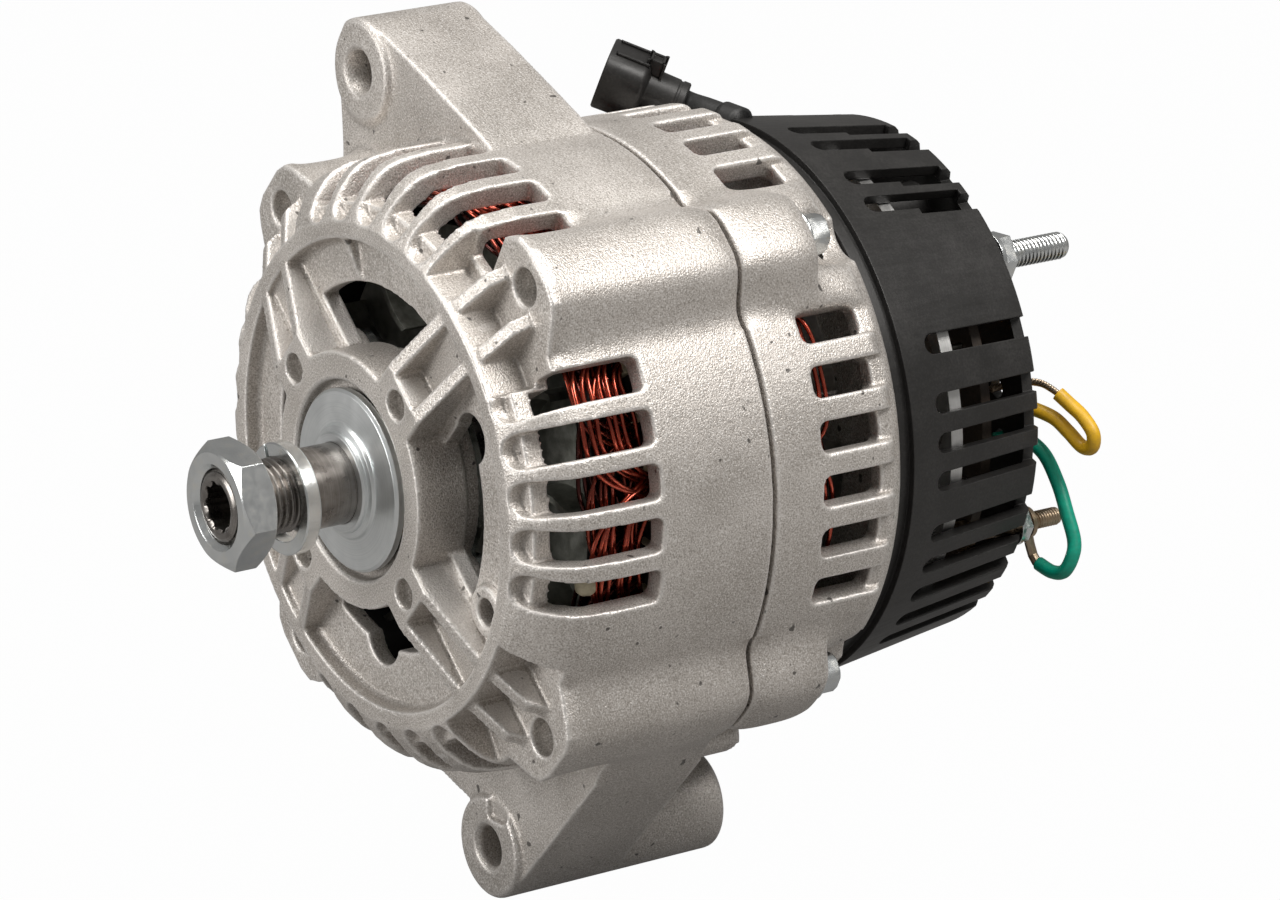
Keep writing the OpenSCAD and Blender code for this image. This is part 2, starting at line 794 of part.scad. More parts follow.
module rear_cover() color([0.1, 0.1, 0.1])
    difference() {
        union() {
            spin()
                cover_profile();
            for (a = cover_stud_angles)
                difference() {
                    rod(cover_stud_r * cos(a), cover_stud_r * sin(a), 5.2, 122, cover_end_y, 32);
                    rod(cover_stud_r * cos(a), cover_stud_r * sin(a), 2.8, 120, 150, 32);
                }
            plate(cover_end_y - 8, cover_end_y + 0.6)
                difference() {
                    circle(18.4);
                    circle(16);
                }
        }
        for (a = [21, 9, 1, -7, -18.5, -26.5, -34.5, -42.5, -50.5])
            cover_slot(a);
        for (a = [52.7, 60.5, 72.5, 80.5, 100.5, 108.5, 116.5])
            cover_slot(a, 1.4);
        for (a = [128:8:292])
            cover_slot(a);
        for (a = cover_stud_angles)
            rod(cover_stud_r * cos(a), cover_stud_r * sin(a), 2.8, 120, 150, 32);
        rod(stud_x, stud_z, stud_d / 2 + 1.4, 130, 150, 32);
        rod(small_stud_x, small_stud_z, small_stud_d / 2 + 1.2, 130, 150, 32);
        for (i = [0:17])
            if (i != 2 && i != 15)
                turned(20 * i)
                    plate(130, 150) {
                        translate([24, -1.8])
                            square([12, 3.6]);
                        translate([24, 0])
                            circle(1.8, $fn = 24);
                        translate([36, 0])
                            circle(1.8, $fn = 24);
                    }
        rod(44.6, 5.4, wire_d / 2 + 0.6, 130, 150, 32);
        rod(46, 1, wire_d / 2 + 0.6, 130, 150, 32);
        rod(45.6, -5.6, wire_d / 2 + 0.6, 130, 150, 32);
        along_lead()
            translate([0, 0, -3])
                cylinder(r = lead_d / 2 + 1.3, h = 24, $fn = 32);
    }

module cover_studs() color([0.72, 0.74, 0.76])
    for (a = cover_stud_angles)
        rod(cover_stud_r * cos(a), cover_stud_r * sin(a), 2.5, 92.6, cover_end_y + 7.5, 32);

module cover_nuts() color([0.72, 0.74, 0.76])
    for (a = cover_stud_angles)
        translate([cover_stud_r * cos(a), cover_end_y + 0.6, cover_stud_r * sin(a)])
            rotate([-90, 0, 0])
                difference() {
                    union() {
                        cylinder(r = 5, h = 1);
                        cylinder(r = 4.62, h = 4.6, $fn = 6);
                    }
                    translate([0, 0, -1])
                        cylinder(r = 2.6, h = 8, $fn = 32);
                }

// Front view of a rectifier plate.
module heat_plate_2d(r0, r1, a0, a1) {
    difference() {
        sector(r0, r1, a0, a1);
        for (a = cover_stud_angles)
            rotate(a)
                translate([cover_stud_r, 0])
                    circle(4.4);
    }
}

module negative_plate() color([0.78, 0.78, 0.77])
    plate(plate_neg_y, plate_neg_y + plate_t)
        difference() {
            heat_plate_2d(25, 57.4, -84, 92);
            for (a = diode_angles_neg)
                rotate(a)
                    translate([33, 0])
                        circle(6.4);
            translate([stud_x, stud_z])
                circle(6);
        }

module positive_plate() color([0.8, 0.8, 0.79])
    plate(plate_pos_y, plate_pos_y + plate_t)
        difference() {
            heat_plate_2d(25, 57, -70, 88);
            for (a = diode_angles_pos)
                rotate(a)
                    translate([47.6, 0])
                        circle(6.4);
            translate([stud_x, stud_z])
                circle(stud_d / 2 - 0.4);
        }

module diodes() color([0.6, 0.6, 0.62]) {
    for (a = diode_angles_neg)
        turned(a) {
            rod(33, 0, 6.4, plate_neg_y - 1.6, plate_neg_y + plate_t, 40);
            rod(33, 0, 4.6, plate_neg_y + plate_t, plate_neg_y + plate_t + 1.6, 32);
            rod(33, 0, 0.7, plate_neg_y + plate_t + 1.6, plate_neg_y + plate_t + 7, 20);
        }
    for (a = diode_angles_pos)
        turned(a) {
            rod(47.6, 0, 6.4, plate_pos_y, plate_pos_y + plate_t + 1.6, 40);
            rod(47.6, 0, 4.6, plate_pos_y + plate_t + 1.6, plate_pos_y + plate_t + 3.2, 32);
            rod(47.6, 0, 0.7, plate_pos_y + plate_t + 3.2, plate_pos_y + plate_t + 9, 20);
        }
}

// Insulated spacers on the cover studs that carry both plates.
module plate_spacers() color([0.45, 0.3, 0.18])
    for (a = cover_stud_angles)
        translate([cover_stud_r * cos(a), rear_face_y, cover_stud_r * sin(a)])
            rotate([-90, 0, 0])
                difference() {
                    union() {
                        cylinder(r = 5.6, h = plate_neg_y - rear_face_y);
                        cylinder(r = 4.3, h = 122 - rear_face_y);
                        translate([0, 0, plate_neg_y + plate_t - rear_face_y])
                            cylinder(r = 5.6, h = plate_pos_y - plate_neg_y - plate_t);
                        translate([0, 0, plate_pos_y + plate_t - rear_face_y])
                            cylinder(r = 5.6, h = 122 - plate_pos_y - plate_t);
                    }
                    translate([0, 0, -1])
                        cylinder(r = 2.7, h = 40, $fn = 32);
                }

// Carrier with the terminals that join the diode leads.
module rectifier_terminals() color([0.2, 0.16, 0.12])
    plate(plate_pos_y + plate_t + 9, plate_pos_y + plate_t + 11.4)
        difference() {
            union() {
                sector(41, 52, -68, 30);
                for (a = [-58, -38, -12, 10])
                    rotate(a)
                        translate([40, 0])
                            circle(3.4, $fn = 32);
            }
            translate([small_stud_x, small_stud_z])
                circle(small_stud_d / 2 + 0.05);
            for (a = cover_stud_angles)
                rotate(a)
                    translate([cover_stud_r, 0])
                        circle(6);
        }

module main_stud() color([0.72, 0.76, 0.78]) {
    difference() {
        union() {
            rod(stud_x, stud_z, stud_d / 2 - 0.45, plate_pos_y - 1.6, stud_end_y - 1, 40);
            rod(stud_x, stud_z, stud_d / 2, cover_end_y + 5.4, stud_end_y - 0.8, 40);
        }
        for (i = [0:19])
            translate([stud_x, stud_end_y - 1.6 - i, stud_z])
                rotate([-90, 0, 0])
                    difference() {
                        cylinder(r = stud_d, h = 0.4);
                        translate([0, 0, -0.1])
                            cylinder(r = stud_d / 2 - 0.35, h = 1);
                    }
    }
    cone(stud_x, stud_z, stud_d / 2 - 0.35, stud_d / 2 - 1, stud_end_y - 0.8, stud_end_y);
    rod(stud_x, stud_z, 5.2, plate_pos_y - 3.6, plate_pos_y, 6);
}

// Flanged hexagon nut on a stud that stands along the shaft direction.
module stud_nut(x, z, y, bore, af, h) {
    translate([x, y, z])
        rotate([-90, 0, 0])
            difference() {
                union() {
                    cylinder(r = af / 2 + 0.9, h = 1);
                    cylinder(r = af / 2 / cos(30), h = h, $fn = 6);
                }
                translate([0, 0, -1])
                    cylinder(r = bore, h = h + 2, $fn = 40);
            }
}

module main_stud_bush() color([0.14, 0.13, 0.12])
    translate([stud_x, plate_pos_y + plate_t, stud_z])
        rotate([-90, 0, 0])
            difference() {
                union() {
                    cylinder(r = stud_d / 2 + 1.2, h = cover_end_y + 0.9 - plate_pos_y - plate_t);
                    cylinder(r = stud_d / 2 + 1.7, h = cover_end_y - 3 - plate_pos_y - plate_t);
                }
                translate([0, 0, -1])
                    cylinder(r = stud_d / 2 - 0.3, h = 40);
            }

module main_stud_nut() color([0.72, 0.76, 0.78])
    stud_nut(stud_x, stud_z, cover_end_y + 0.9, stud_d / 2 - 0.35, 10, 4);

module small_stud() color([0.72, 0.74, 0.72]) {
    rod(small_stud_x, small_stud_z, small_stud_d / 2, plate_pos_y + plate_t + 7.4,
        small_stud_end_y, 32);
    rod(small_stud_x, small_stud_z, small_stud_d / 2 + 1.4, plate_pos_y + plate_t + 7.4,
        plate_pos_y + plate_t + 9, 6);
}

module small_stud_nut() color([0.72, 0.74, 0.76])
    stud_nut(small_stud_x, small_stud_z, cover_end_y + 0.6, small_stud_d / 2 + 0.1, 7, 3.2);

// Voltage regulator with cooling fins on its rear face.
module regulator() color([0.2, 0.2, 0.21]) {
    plate(101, 110)
        polygon([[-46, -26], [-24, -40], [-12, -40], [-12, -16], [-46, -16]]);
    plate(rear_face_y, 101)
        translate([-42, -24])
            square([26, 7]);
    for (i = [0:6])
        plate(110, 120)
            translate([-45 + 5 * i, -25.4 - 1.2 * i])
                square([1.6, 8.8 + 1.2 * i]);
}

// Box that guides the two brushes, joined to the regulator.
module brush_holder() color([0.16, 0.13, 0.1])
    difference() {
        translate([spring_back_x - 4, rear_face_y + 2.6, -16])
            cube([22.4, 28, 24]);
        for (y = slip_ring_y)
            translate([spring_back_x, y + slip_ring_w / 2 - brush_h / 2 - 0.1, -brush_w / 2 - 0.1])
                cube([40, brush_h + 0.2, brush_w + 0.2]);
    }

// One carbon brush, hollowed to ride on its slip ring.
module brush(y) {
    difference() {
        translate([-slip_ring_d / 2 - brush_gap - brush_len, y + slip_ring_w / 2 - brush_h / 2,
            -brush_w / 2])
            cube([brush_len + 2, brush_h, brush_w]);
        rod(0, 0, slip_ring_d / 2 + brush_gap, y - 2, y + slip_ring_w + 2, 64);
    }
}

module front_brush() color([0.22, 0.2, 0.2])
    brush(slip_ring_y[0]);

module rear_brush() color([0.22, 0.2, 0.2])
    brush(slip_ring_y[1]);

// Coil spring of separate rings with joining posts, pressing one brush.
module brush_spring(y) {
    x1 = -slip_ring_d / 2 - brush_gap - brush_len;
    x0 = spring_back_x;
    turns = 7;
    step = (x1 - x0 - 0.7) / (turns - 1);
    for (i = [0:turns - 1])
        translate([x0 + 0.35 + step * i, y + slip_ring_w / 2, 0])
            rotate([0, 90, 0])
                rotate_extrude($fn = 32)
                    translate([1.75, 0])
                        circle(0.35, $fn = 16);
    for (i = [0:turns - 2])
        translate([x0 + 0.35 + step * i, y + slip_ring_w / 2 + (i % 2 == 0 ? 1.75 : -1.75), 0])
            rotate([0, 90, 0])
                cylinder(r = 0.3, h = step, $fn = 16);
}

module front_brush_spring() color([0.6, 0.6, 0.62])
    brush_spring(slip_ring_y[0]);

module rear_brush_spring() color([0.6, 0.6, 0.62])
    brush_spring(slip_ring_y[1]);

// Round noise suppressor with its foot on the rear housing.
module suppressor() color([0.62, 0.6, 0.56]) {
    rod(-22, 40, 8, rear_face_y + 1.2, 122, 40);
    rod(-22, 40, 7, rear_face_y, rear_face_y + 1.2, 40);
}

// Points of a circle of given size.
function ring_point(r, a) = [r * cos(a), r * sin(a)];

// Point on a smooth curve through four neighbouring points.
function smooth(a, b, c, d, t) = 0.5 * (2 * b + (c - a) * t + (2 * a - 5 * b + 4 * c - d) * t * t
    + (3 * b - a - 3 * c + d) * t * t * t);

// Smooth path through a list of points with a number of steps for each part.
function path_through(p, n) = [for (i = [0:len(p) - 2]) for (k = [0:n - 1])
    smooth(p[max(i - 1, 0)], p[i], p[i + 1], p[min(i + 2, len(p) - 1)], k / n), p[len(p) - 1]];

function unit(v) = v / norm(v);

// Sideways direction carried along a path without twisting.
function carried(dirs, i) = i == 0 ? unit(cross(dirs[0], [0.3, 0.2, 0.9]))
    : let (u = carried(dirs, i - 1)) unit(u - dirs[i] * (u * dirs[i]));

// Round tube along a path, made of rings joined side by side.
module tube(path, r, sides) {
    n = len(path);
    dirs = [for (i = [0:n - 1]) unit(path[min(i + 1, n - 1)] - path[max(i - 1, 0)])];
    pts = [for (i = [0:n - 1])
        let (u = carried(dirs, i), v = cross(dirs[i], u))
        for (k = [0:sides - 1])
            path[i] + u * r * cos(360 / sides * k) + v * r * sin(360 / sides * k)];
    faces = concat(
        [[for (k = [0:sides - 1]) k]],
        [for (i = [0:n - 2]) for (k = [0:sides - 1])
            [i * sides + k, (i + 1) * sides + k,
                (i + 1) * sides + (k + 1) % sides, i * sides + (k + 1) % sides]],
        [[for (k = [0:sides - 1]) n * sides - 1 - k]]);
    polyhedron(points = pts, faces = faces, convexity = 6);
}

plug_at = [-22.5, 100.2, 64];
plug_turn = 180;
plug_dir = [cos(plug_turn), sin(plug_turn), 0];
lead_in = [-6.5, 103.1, 60.1];
lead_dir = unit([-16, -2.9, 3.9]);
lead_path = [lead_in, lead_in + 5 * lead_dir, lead_in + 9.5 * lead_dir,
    plug_at - 2.2 * plug_dir + [0, 0.2, -0.4], plug_at + 1.8 * plug_dir, plug_at + 5.5 * plug_dir];
yellow_run = [[44.6, 134, 5.4], [45, 140, 5.4], [51, 144, 4.8], [58, 146, 4.2], [62.4, 147, 0.6],
    [63, 147.6, -3.4], [60.8, 147, -6], [56.6, 146, -3.6], [51.6, 143.6, -0.4], [46.4, 140.4, 1],
    [46, 134, 1]];
green_run = [[45.6, 134, -5.6], [46, 140.6, -6], [49, 144.4, -9.6], [52, 146, -16],
    [55, 146, -22], [57.4, 146, -27.6], [58, 145, -31], [56.4, 144, -34.4], [53, 143.4, -35.2],
    [48.8, 143, -34.2]];
wire_shift = [0, cover_shift, 0];

// Square plug with a latch and a round barrel at its rear.
module plug() color([0.1, 0.1, 0.1])
    translate(plug_at)
        rotate([0, 0, plug_turn])
            rotate([0, 90, 0])
                difference() {
                    union() {
                        translate([-plug_w / 2, -plug_w / 2, 14.5])
                            linear_extrude(18.5)
                                soft_box(0, plug_w, 0, plug_w, 4.6);
                        cylinder(r1 = 5.6, r2 = 6, h = 15);
                        translate([-plug_w / 2 - 1.6, -2.6, 13])
                            cube([4.6, 5.2, 3.2]);
                        translate([-plug_w / 2 - 0.5, -1.6, 16])
                            cube([2, 3.2, 15]);
                    }
                    translate([-plug_w / 2 + 1.5, -plug_w / 2 + 1.5, 17])
                        linear_extrude(20)
                            soft_box(0, plug_w - 3, 0, plug_w - 3, 3.2);
                    translate([0, 0, -1])
                        cylinder(r = lead_d / 2 + 1.1, h = 7, $fn = 32);
                }

module plug_seal() color([0.14, 0.14, 0.15])
    translate(plug_at)
        rotate([0, 0, plug_turn])
            rotate([0, 90, 0])
                difference() {
                    translate([0, 0, -0.6])
                        cylinder(r = lead_d / 2 + 1.05, h = 6.55);
                    translate([0, 0, -2])
                        cylinder(r = lead_d / 2 + 0.25, h = 10, $fn = 32);
                }

module lead() color([0.08, 0.08, 0.08])
    tube(path_through(lead_path, 4), lead_d / 2, 12);

// Turns a shape from the Z direction to the direction of the lead where it leaves the cover.
module along_lead()
    translate(lead_in)
        rotate([0, acos(lead_dir[2]), atan2(lead_dir[1], lead_dir[0])])
            children();

module lead_grommet() color([0.12, 0.12, 0.12])
    along_lead()
        difference() {
            translate([0, 0, 0.4])
                cylinder(r = lead_d / 2 + 1.2, h = 8);
            translate([0, 0, -1])
                cylinder(r = lead_d / 2 + 0.15, h = 12, $fn = 32);
        }

module yellow_wire() color([0.85, 0.6, 0.08])
    tube(path_through([for (p = yellow_run) p + wire_shift], 3), wire_d / 2, 8);

module green_wire() color([0.05, 0.55, 0.45])
    tube(path_through([for (p = green_run) p + wire_shift], 3), wire_d / 2, 8);

// Bare crimped ends of the two thin wires.
module wire_ends() color([0.6, 0.55, 0.48]) {
    translate(wire_shift)
        tube([[48.76, 142.996, -34.19], [48.2, 142.94, -34.06], [47, 142.8, -32.6],
            [46.3, 142.6, -30.4], [45.8, 142.5, -28.4]], 1.1, 8);
    translate([small_stud_x, cover_end_y + 4.4, small_stud_z])
        rotate([-90, 0, 0])
            difference() {
                cylinder(r = 3.4, h = 1);
                translate([0, 0, -1])
                    cylinder(r = small_stud_d / 2 + 0.1, h = 4);
            }
}

module shaft() color([0.55, 0.56, 0.57])
    difference() {
        spin() {
            polygon(concat([[0, -shaft_reach], [thread_d / 2 - 1.6, -shaft_reach]],
                [for (i = [0:9]) each [
                    [thread_d / 2 - 0.85, -shaft_reach + 0.8 + i * thread_pitch],
                    [thread_d / 2, -shaft_reach + 0.8 + (i + 0.5) * thread_pitch]]],
                [[thread_d / 2 - 1, -shaft_reach + 0.9 + 10 * thread_pitch],
                    [thread_d / 2 - 1, -shaft_reach + 2.6 + 10 * thread_pitch],
                    [shaft_d / 2, -shaft_reach + 3.6 + 10 * thread_pitch],
                    [shaft_d / 2, -0.4], [front_bearing_id / 2 - 0.01, 0],
                    [front_bearing_id / 2 - 0.01, 22], [9.4, 22.6], [9.4, 78],
                    [rear_bearing_id / 2 - 0.01, 79], [rear_bearing_id / 2 - 0.01, 101],
                    [5.6, 101.6], [5.6, 127], [5, 127.6], [0, 127.6]]));
        }
        plate(-shaft_reach - 1, -shaft_reach + 13)
            socket_2d();
    }

// Toothed socket in the end of the shaft.
module socket_2d() {
    n = 10;
    polygon([for (i = [0:n - 1]) each [ring_point(5.4, 360 / n * i - 7),
        ring_point(5.4, 360 / n * i + 7), ring_point(4.4, 360 / n * (i + 0.5) - 7),
        ring_point(4.4, 360 / n * (i + 0.5) + 7)]]);
}

module shaft_nut() color([0.75, 0.78, 0.8])
    translate([0, nut_y, 0])
        turned(-12)
            difference() {
                intersection() {
                    rod(0, 0, nut_af / 2 / cos(30), 0, nut_t, 6);
                    spin()
                        polygon([[0, 0], [nut_af / 2 - 0.4, 0], [nut_af / 2 / cos(30), 1.5],
                            [nut_af / 2 / cos(30), nut_t - 1.5], [nut_af / 2 - 0.4, nut_t],
                            [0, nut_t]]);
                }
                rod(0, 0, thread_d / 2 + 0.05, -1, nut_t + 1, 64);
                cone(0, 0, thread_d / 2 + 1.2, thread_d / 2 + 0.05, -0.01, 1.15, 64);
            }

// Split washer hanging loose on the shaft.
module lock_washer() color([0.7, 0.72, 0.72])
    translate([0, -13.6, -0.95])
        difference() {
            spin()
                polygon([[9.1, -3.4], [11.7, -3.4], [11.9, -3.1], [11.9, -0.3], [11.7, 0],
                    [9.1, 0], [9, -0.2], [9, -3.2]]);
            turned(112)
                translate([8, -5, -0.6])
                    cube([6, 8, 1.2]);
        }

module thrust_disc() color([0.78, 0.8, 0.82])
    spin()
        polygon([[shaft_d / 2 + 0.05, -3], [10.4, -3], [10.8, -2.6], [10.8, -1.9], [12, -1.6],
            [12.4, -0.9], [disc_d / 2 - 0.6, -0.4], [disc_d / 2, 0.2], [disc_d / 2, 1.6],
            [disc_d / 2 - 0.6, 2], [12.3, 2], [12.3, front_bearing_y],
            [shaft_d / 2 + 0.05, front_bearing_y]]);

// One row of claw fingers with the plate that joins them.
module claw(y_root, y_plate, y_tip, phase) {
    d = y_tip > y_root ? 1 : -1;
    spin()
        polygon([[9.5, y_root], [39, y_root], [39, y_plate], [20, y_plate], [20, 54], [9.5, 54]]);
    for (i = [0:pole_count - 1])
        intersection() {
            spin()
                polygon([[36, y_root], [rotor_r - 1.4, y_root], [rotor_r, y_root + d * 1.4],
                    [rotor_r, y_tip], [48.6, y_tip], [42.4, y_plate], [36, y_plate]]);
            radial(60 * i + phase, 20, 60)
                polygon([[y_root - d * 2, -15.1], [y_plate, -14.4], [y_tip + d, -6.4],
                    [y_tip + d, 6.4], [y_plate, 14.4], [y_root - d * 2, 15.1]]);
        }
}

module front_claw() color([0.3, 0.3, 0.31])
    claw(rotor_front, 42.4, 71, 0);

module rear_claw() color([0.3, 0.3, 0.31])
    claw(rotor_back, 65.6, 37, 30);

module coil_bobbin() color([0.25, 0.2, 0.15])
    spin()
        polygon([[20.05, 42.45], [38.4, 42.45], [38.4, 43.6], [21.4, 43.6], [21.4, 64.4],
            [38.4, 64.4], [38.4, 65.55], [20.05, 65.55]]);

module field_coil() color([0.6, 0.28, 0.12])
    spin()
        polygon([[21.4, 43.6], [37.4, 43.6], [38.2, 46], [38.2, 62], [37.4, 64.4], [21.4, 64.4]]);

// Fan disc with curved blades on one side.
module fan(y_disc, y_blade, count, r_out) {
    d = y_blade > y_disc ? 1 : -1;
    y0 = min(y_disc, y_disc - d * 1.4);
    difference() {
        spin()
            polygon([[15, y0], [r_out, y0], [r_out, y0 + 1.4], [15, y0 + 1.4]]);
        for (i = [0:5])
            rod(22 * cos(60 * i), 22 * sin(60 * i), 2.4, y0 - 1, y0 + 3, 24);
    }
    for (i = [0:count - 1])
        plate(min(y_disc, y_blade), max(y_disc, y_blade))
            rotate(360 / count * i)
                intersection() {
                    translate([38, -17])
                        difference() {
                            circle(18.6);
                            circle(17.2);
                        }
                    translate([29, -6])
                        square([r_out - 30.5, 12]);
                }
}

module front_fan() color([0.28, 0.28, 0.26])
    fan(30, 23, 12, 49.4);

module rear_fan() color([0.28, 0.28, 0.26])
    fan(78, 85.4, 11, 48);

module slip_rings() color([0.72, 0.45, 0.22])
    for (y = slip_ring_y)
        spin()
            polygon([[6.6, y], [slip_ring_d / 2 - 0.3, y], [slip_ring_d / 2, y + 0.3],
                [slip_ring_d / 2, y + slip_ring_w - 0.3],
                [slip_ring_d / 2 - 0.3, y + slip_ring_w], [6.6, y + slip_ring_w]]);

module slip_ring_core() color([0.16, 0.12, 0.1])
    spin()
        polygon([[5.65, 103], [slip_ring_d / 2 - 0.4, 103], [slip_ring_d / 2 - 0.4, slip_ring_y[0]],
            [6.6, slip_ring_y[0]], [6.6, slip_ring_y[0] + slip_ring_w],
            [slip_ring_d / 2 - 0.4, slip_ring_y[0] + slip_ring_w],
            [slip_ring_d / 2 - 0.4, slip_ring_y[1]], [6.6, slip_ring_y[1]],
            [6.6, slip_ring_y[1] + slip_ring_w],
            [slip_ring_d / 2 - 0.4, slip_ring_y[1] + slip_ring_w],
            [slip_ring_d / 2 - 0.4, 125.6], [5.65, 125.6]]);

front_housing();
rear_housing();
through_bolts();
retainer_plate();
retainer_screws();
front_outer_race();
rear_outer_race();
stator_core();
stator_windings();
slot_insulation();
rear_cover();
cover_nuts();
cover_studs();
negative_plate();
positive_plate();
plate_spacers();
diodes();
rectifier_terminals();
main_stud();
main_stud_nut();
main_stud_bush();
small_stud();
small_stud_nut();
regulator();
brush_holder();
suppressor();
plug();
plug_seal();
lead();
lead_grommet();
yellow_wire();
green_wire();
wire_ends();
shaft();
shaft_nut();
lock_washer();
thrust_disc();
front_inner_race();
rear_inner_race();
front_claw();
rear_claw();
field_coil();
coil_bobbin();
front_fan();
rear_fan();
slip_rings();
slip_ring_core();
front_balls();
front_cage();
rear_balls();
rear_cage();
front_brush();
rear_brush();
front_brush_spring();
rear_brush_spring();
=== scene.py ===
"""Looks of the alternator: cast housings, wound stator, slotted cover, fasteners, wires and studio."""
import json
import logging
import math
import random
from dataclasses import dataclass
from enum import Enum
from typing import Any, Dict, List, Optional, Sequence, Tuple, Union

import bmesh
import bpy
import numpy as np
from mathutils import Matrix, Vector


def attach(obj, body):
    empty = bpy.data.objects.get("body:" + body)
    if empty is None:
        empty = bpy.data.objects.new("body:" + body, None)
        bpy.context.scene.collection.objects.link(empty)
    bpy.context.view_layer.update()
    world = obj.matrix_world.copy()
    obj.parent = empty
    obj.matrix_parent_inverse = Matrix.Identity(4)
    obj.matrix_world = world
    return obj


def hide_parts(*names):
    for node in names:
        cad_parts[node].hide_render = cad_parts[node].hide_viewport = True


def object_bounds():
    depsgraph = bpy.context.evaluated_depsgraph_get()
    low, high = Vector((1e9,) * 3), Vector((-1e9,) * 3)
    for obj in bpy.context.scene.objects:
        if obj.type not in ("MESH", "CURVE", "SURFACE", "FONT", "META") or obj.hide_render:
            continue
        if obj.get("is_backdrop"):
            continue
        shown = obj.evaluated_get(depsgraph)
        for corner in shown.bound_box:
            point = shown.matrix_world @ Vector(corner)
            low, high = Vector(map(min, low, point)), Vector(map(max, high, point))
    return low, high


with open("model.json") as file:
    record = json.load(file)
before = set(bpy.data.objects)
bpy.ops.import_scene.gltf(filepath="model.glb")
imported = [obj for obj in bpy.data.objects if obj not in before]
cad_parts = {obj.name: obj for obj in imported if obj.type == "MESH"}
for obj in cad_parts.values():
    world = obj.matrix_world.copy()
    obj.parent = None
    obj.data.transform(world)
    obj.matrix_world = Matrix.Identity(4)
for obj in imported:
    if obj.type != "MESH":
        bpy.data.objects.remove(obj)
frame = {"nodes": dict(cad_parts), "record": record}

log = logging.getLogger("alternator")

Colour = Tuple[float, float, float]
Point = Tuple[float, float, float]
MM = 0.001
NEARLY_NOTHING = 0.02
CORNERS = (45.0, 135.0, 225.0, 315.0)


def rgba(colour: Colour) -> Tuple[float, float, float, float]:
    """Returns the colour with full opacity."""
    return (colour[0], colour[1], colour[2], 1.0)


class Signal:
    """One output socket of a material that can be used in sums."""

    def __init__(self, bench: "Bench", socket: bpy.types.NodeSocket) -> None:
        """Keeps the bench and the socket."""
        self.bench = bench
        self.socket = socket

    def __add__(self, other: "Number") -> "Signal":
        """Adds a number or another signal."""
        return self.bench.maths("ADD", self, other)

    __radd__ = __add__

    def __mul__(self, other: "Number") -> "Signal":
        """Multiplies by a number or another signal."""
        return self.bench.maths("MULTIPLY", self, other)

    __rmul__ = __mul__

    def __sub__(self, other: "Number") -> "Signal":
        """Takes away a number or another signal."""
        return self.bench.maths("SUBTRACT", self, other)

    def __rsub__(self, other: "Number") -> "Signal":
        """Takes this signal away from a number."""
        return self.bench.maths("SUBTRACT", other, self)

    def __pow__(self, other: "Number") -> "Signal":
        """Raises the signal to a power."""
        return self.bench.maths("POWER", self, other)

    def between(self, low: float, high: float, start: float = 0.0, end: float = 1.0) -> "Signal":
        """Stretches the part from low to high over a new range, held at its ends.

        Args:
            low: value that becomes start.
            high: value that becomes end.
            start: new value at low.
            end: new value at high.

        Returns:
            The stretched signal.
        """
        return self.bench.node("ShaderNodeMapRange", {"clamp": True}, {
            "Value": self, "From Min": low, "From Max": high, "To Min": start, "To Max": end})


Number = Union[float, Signal]


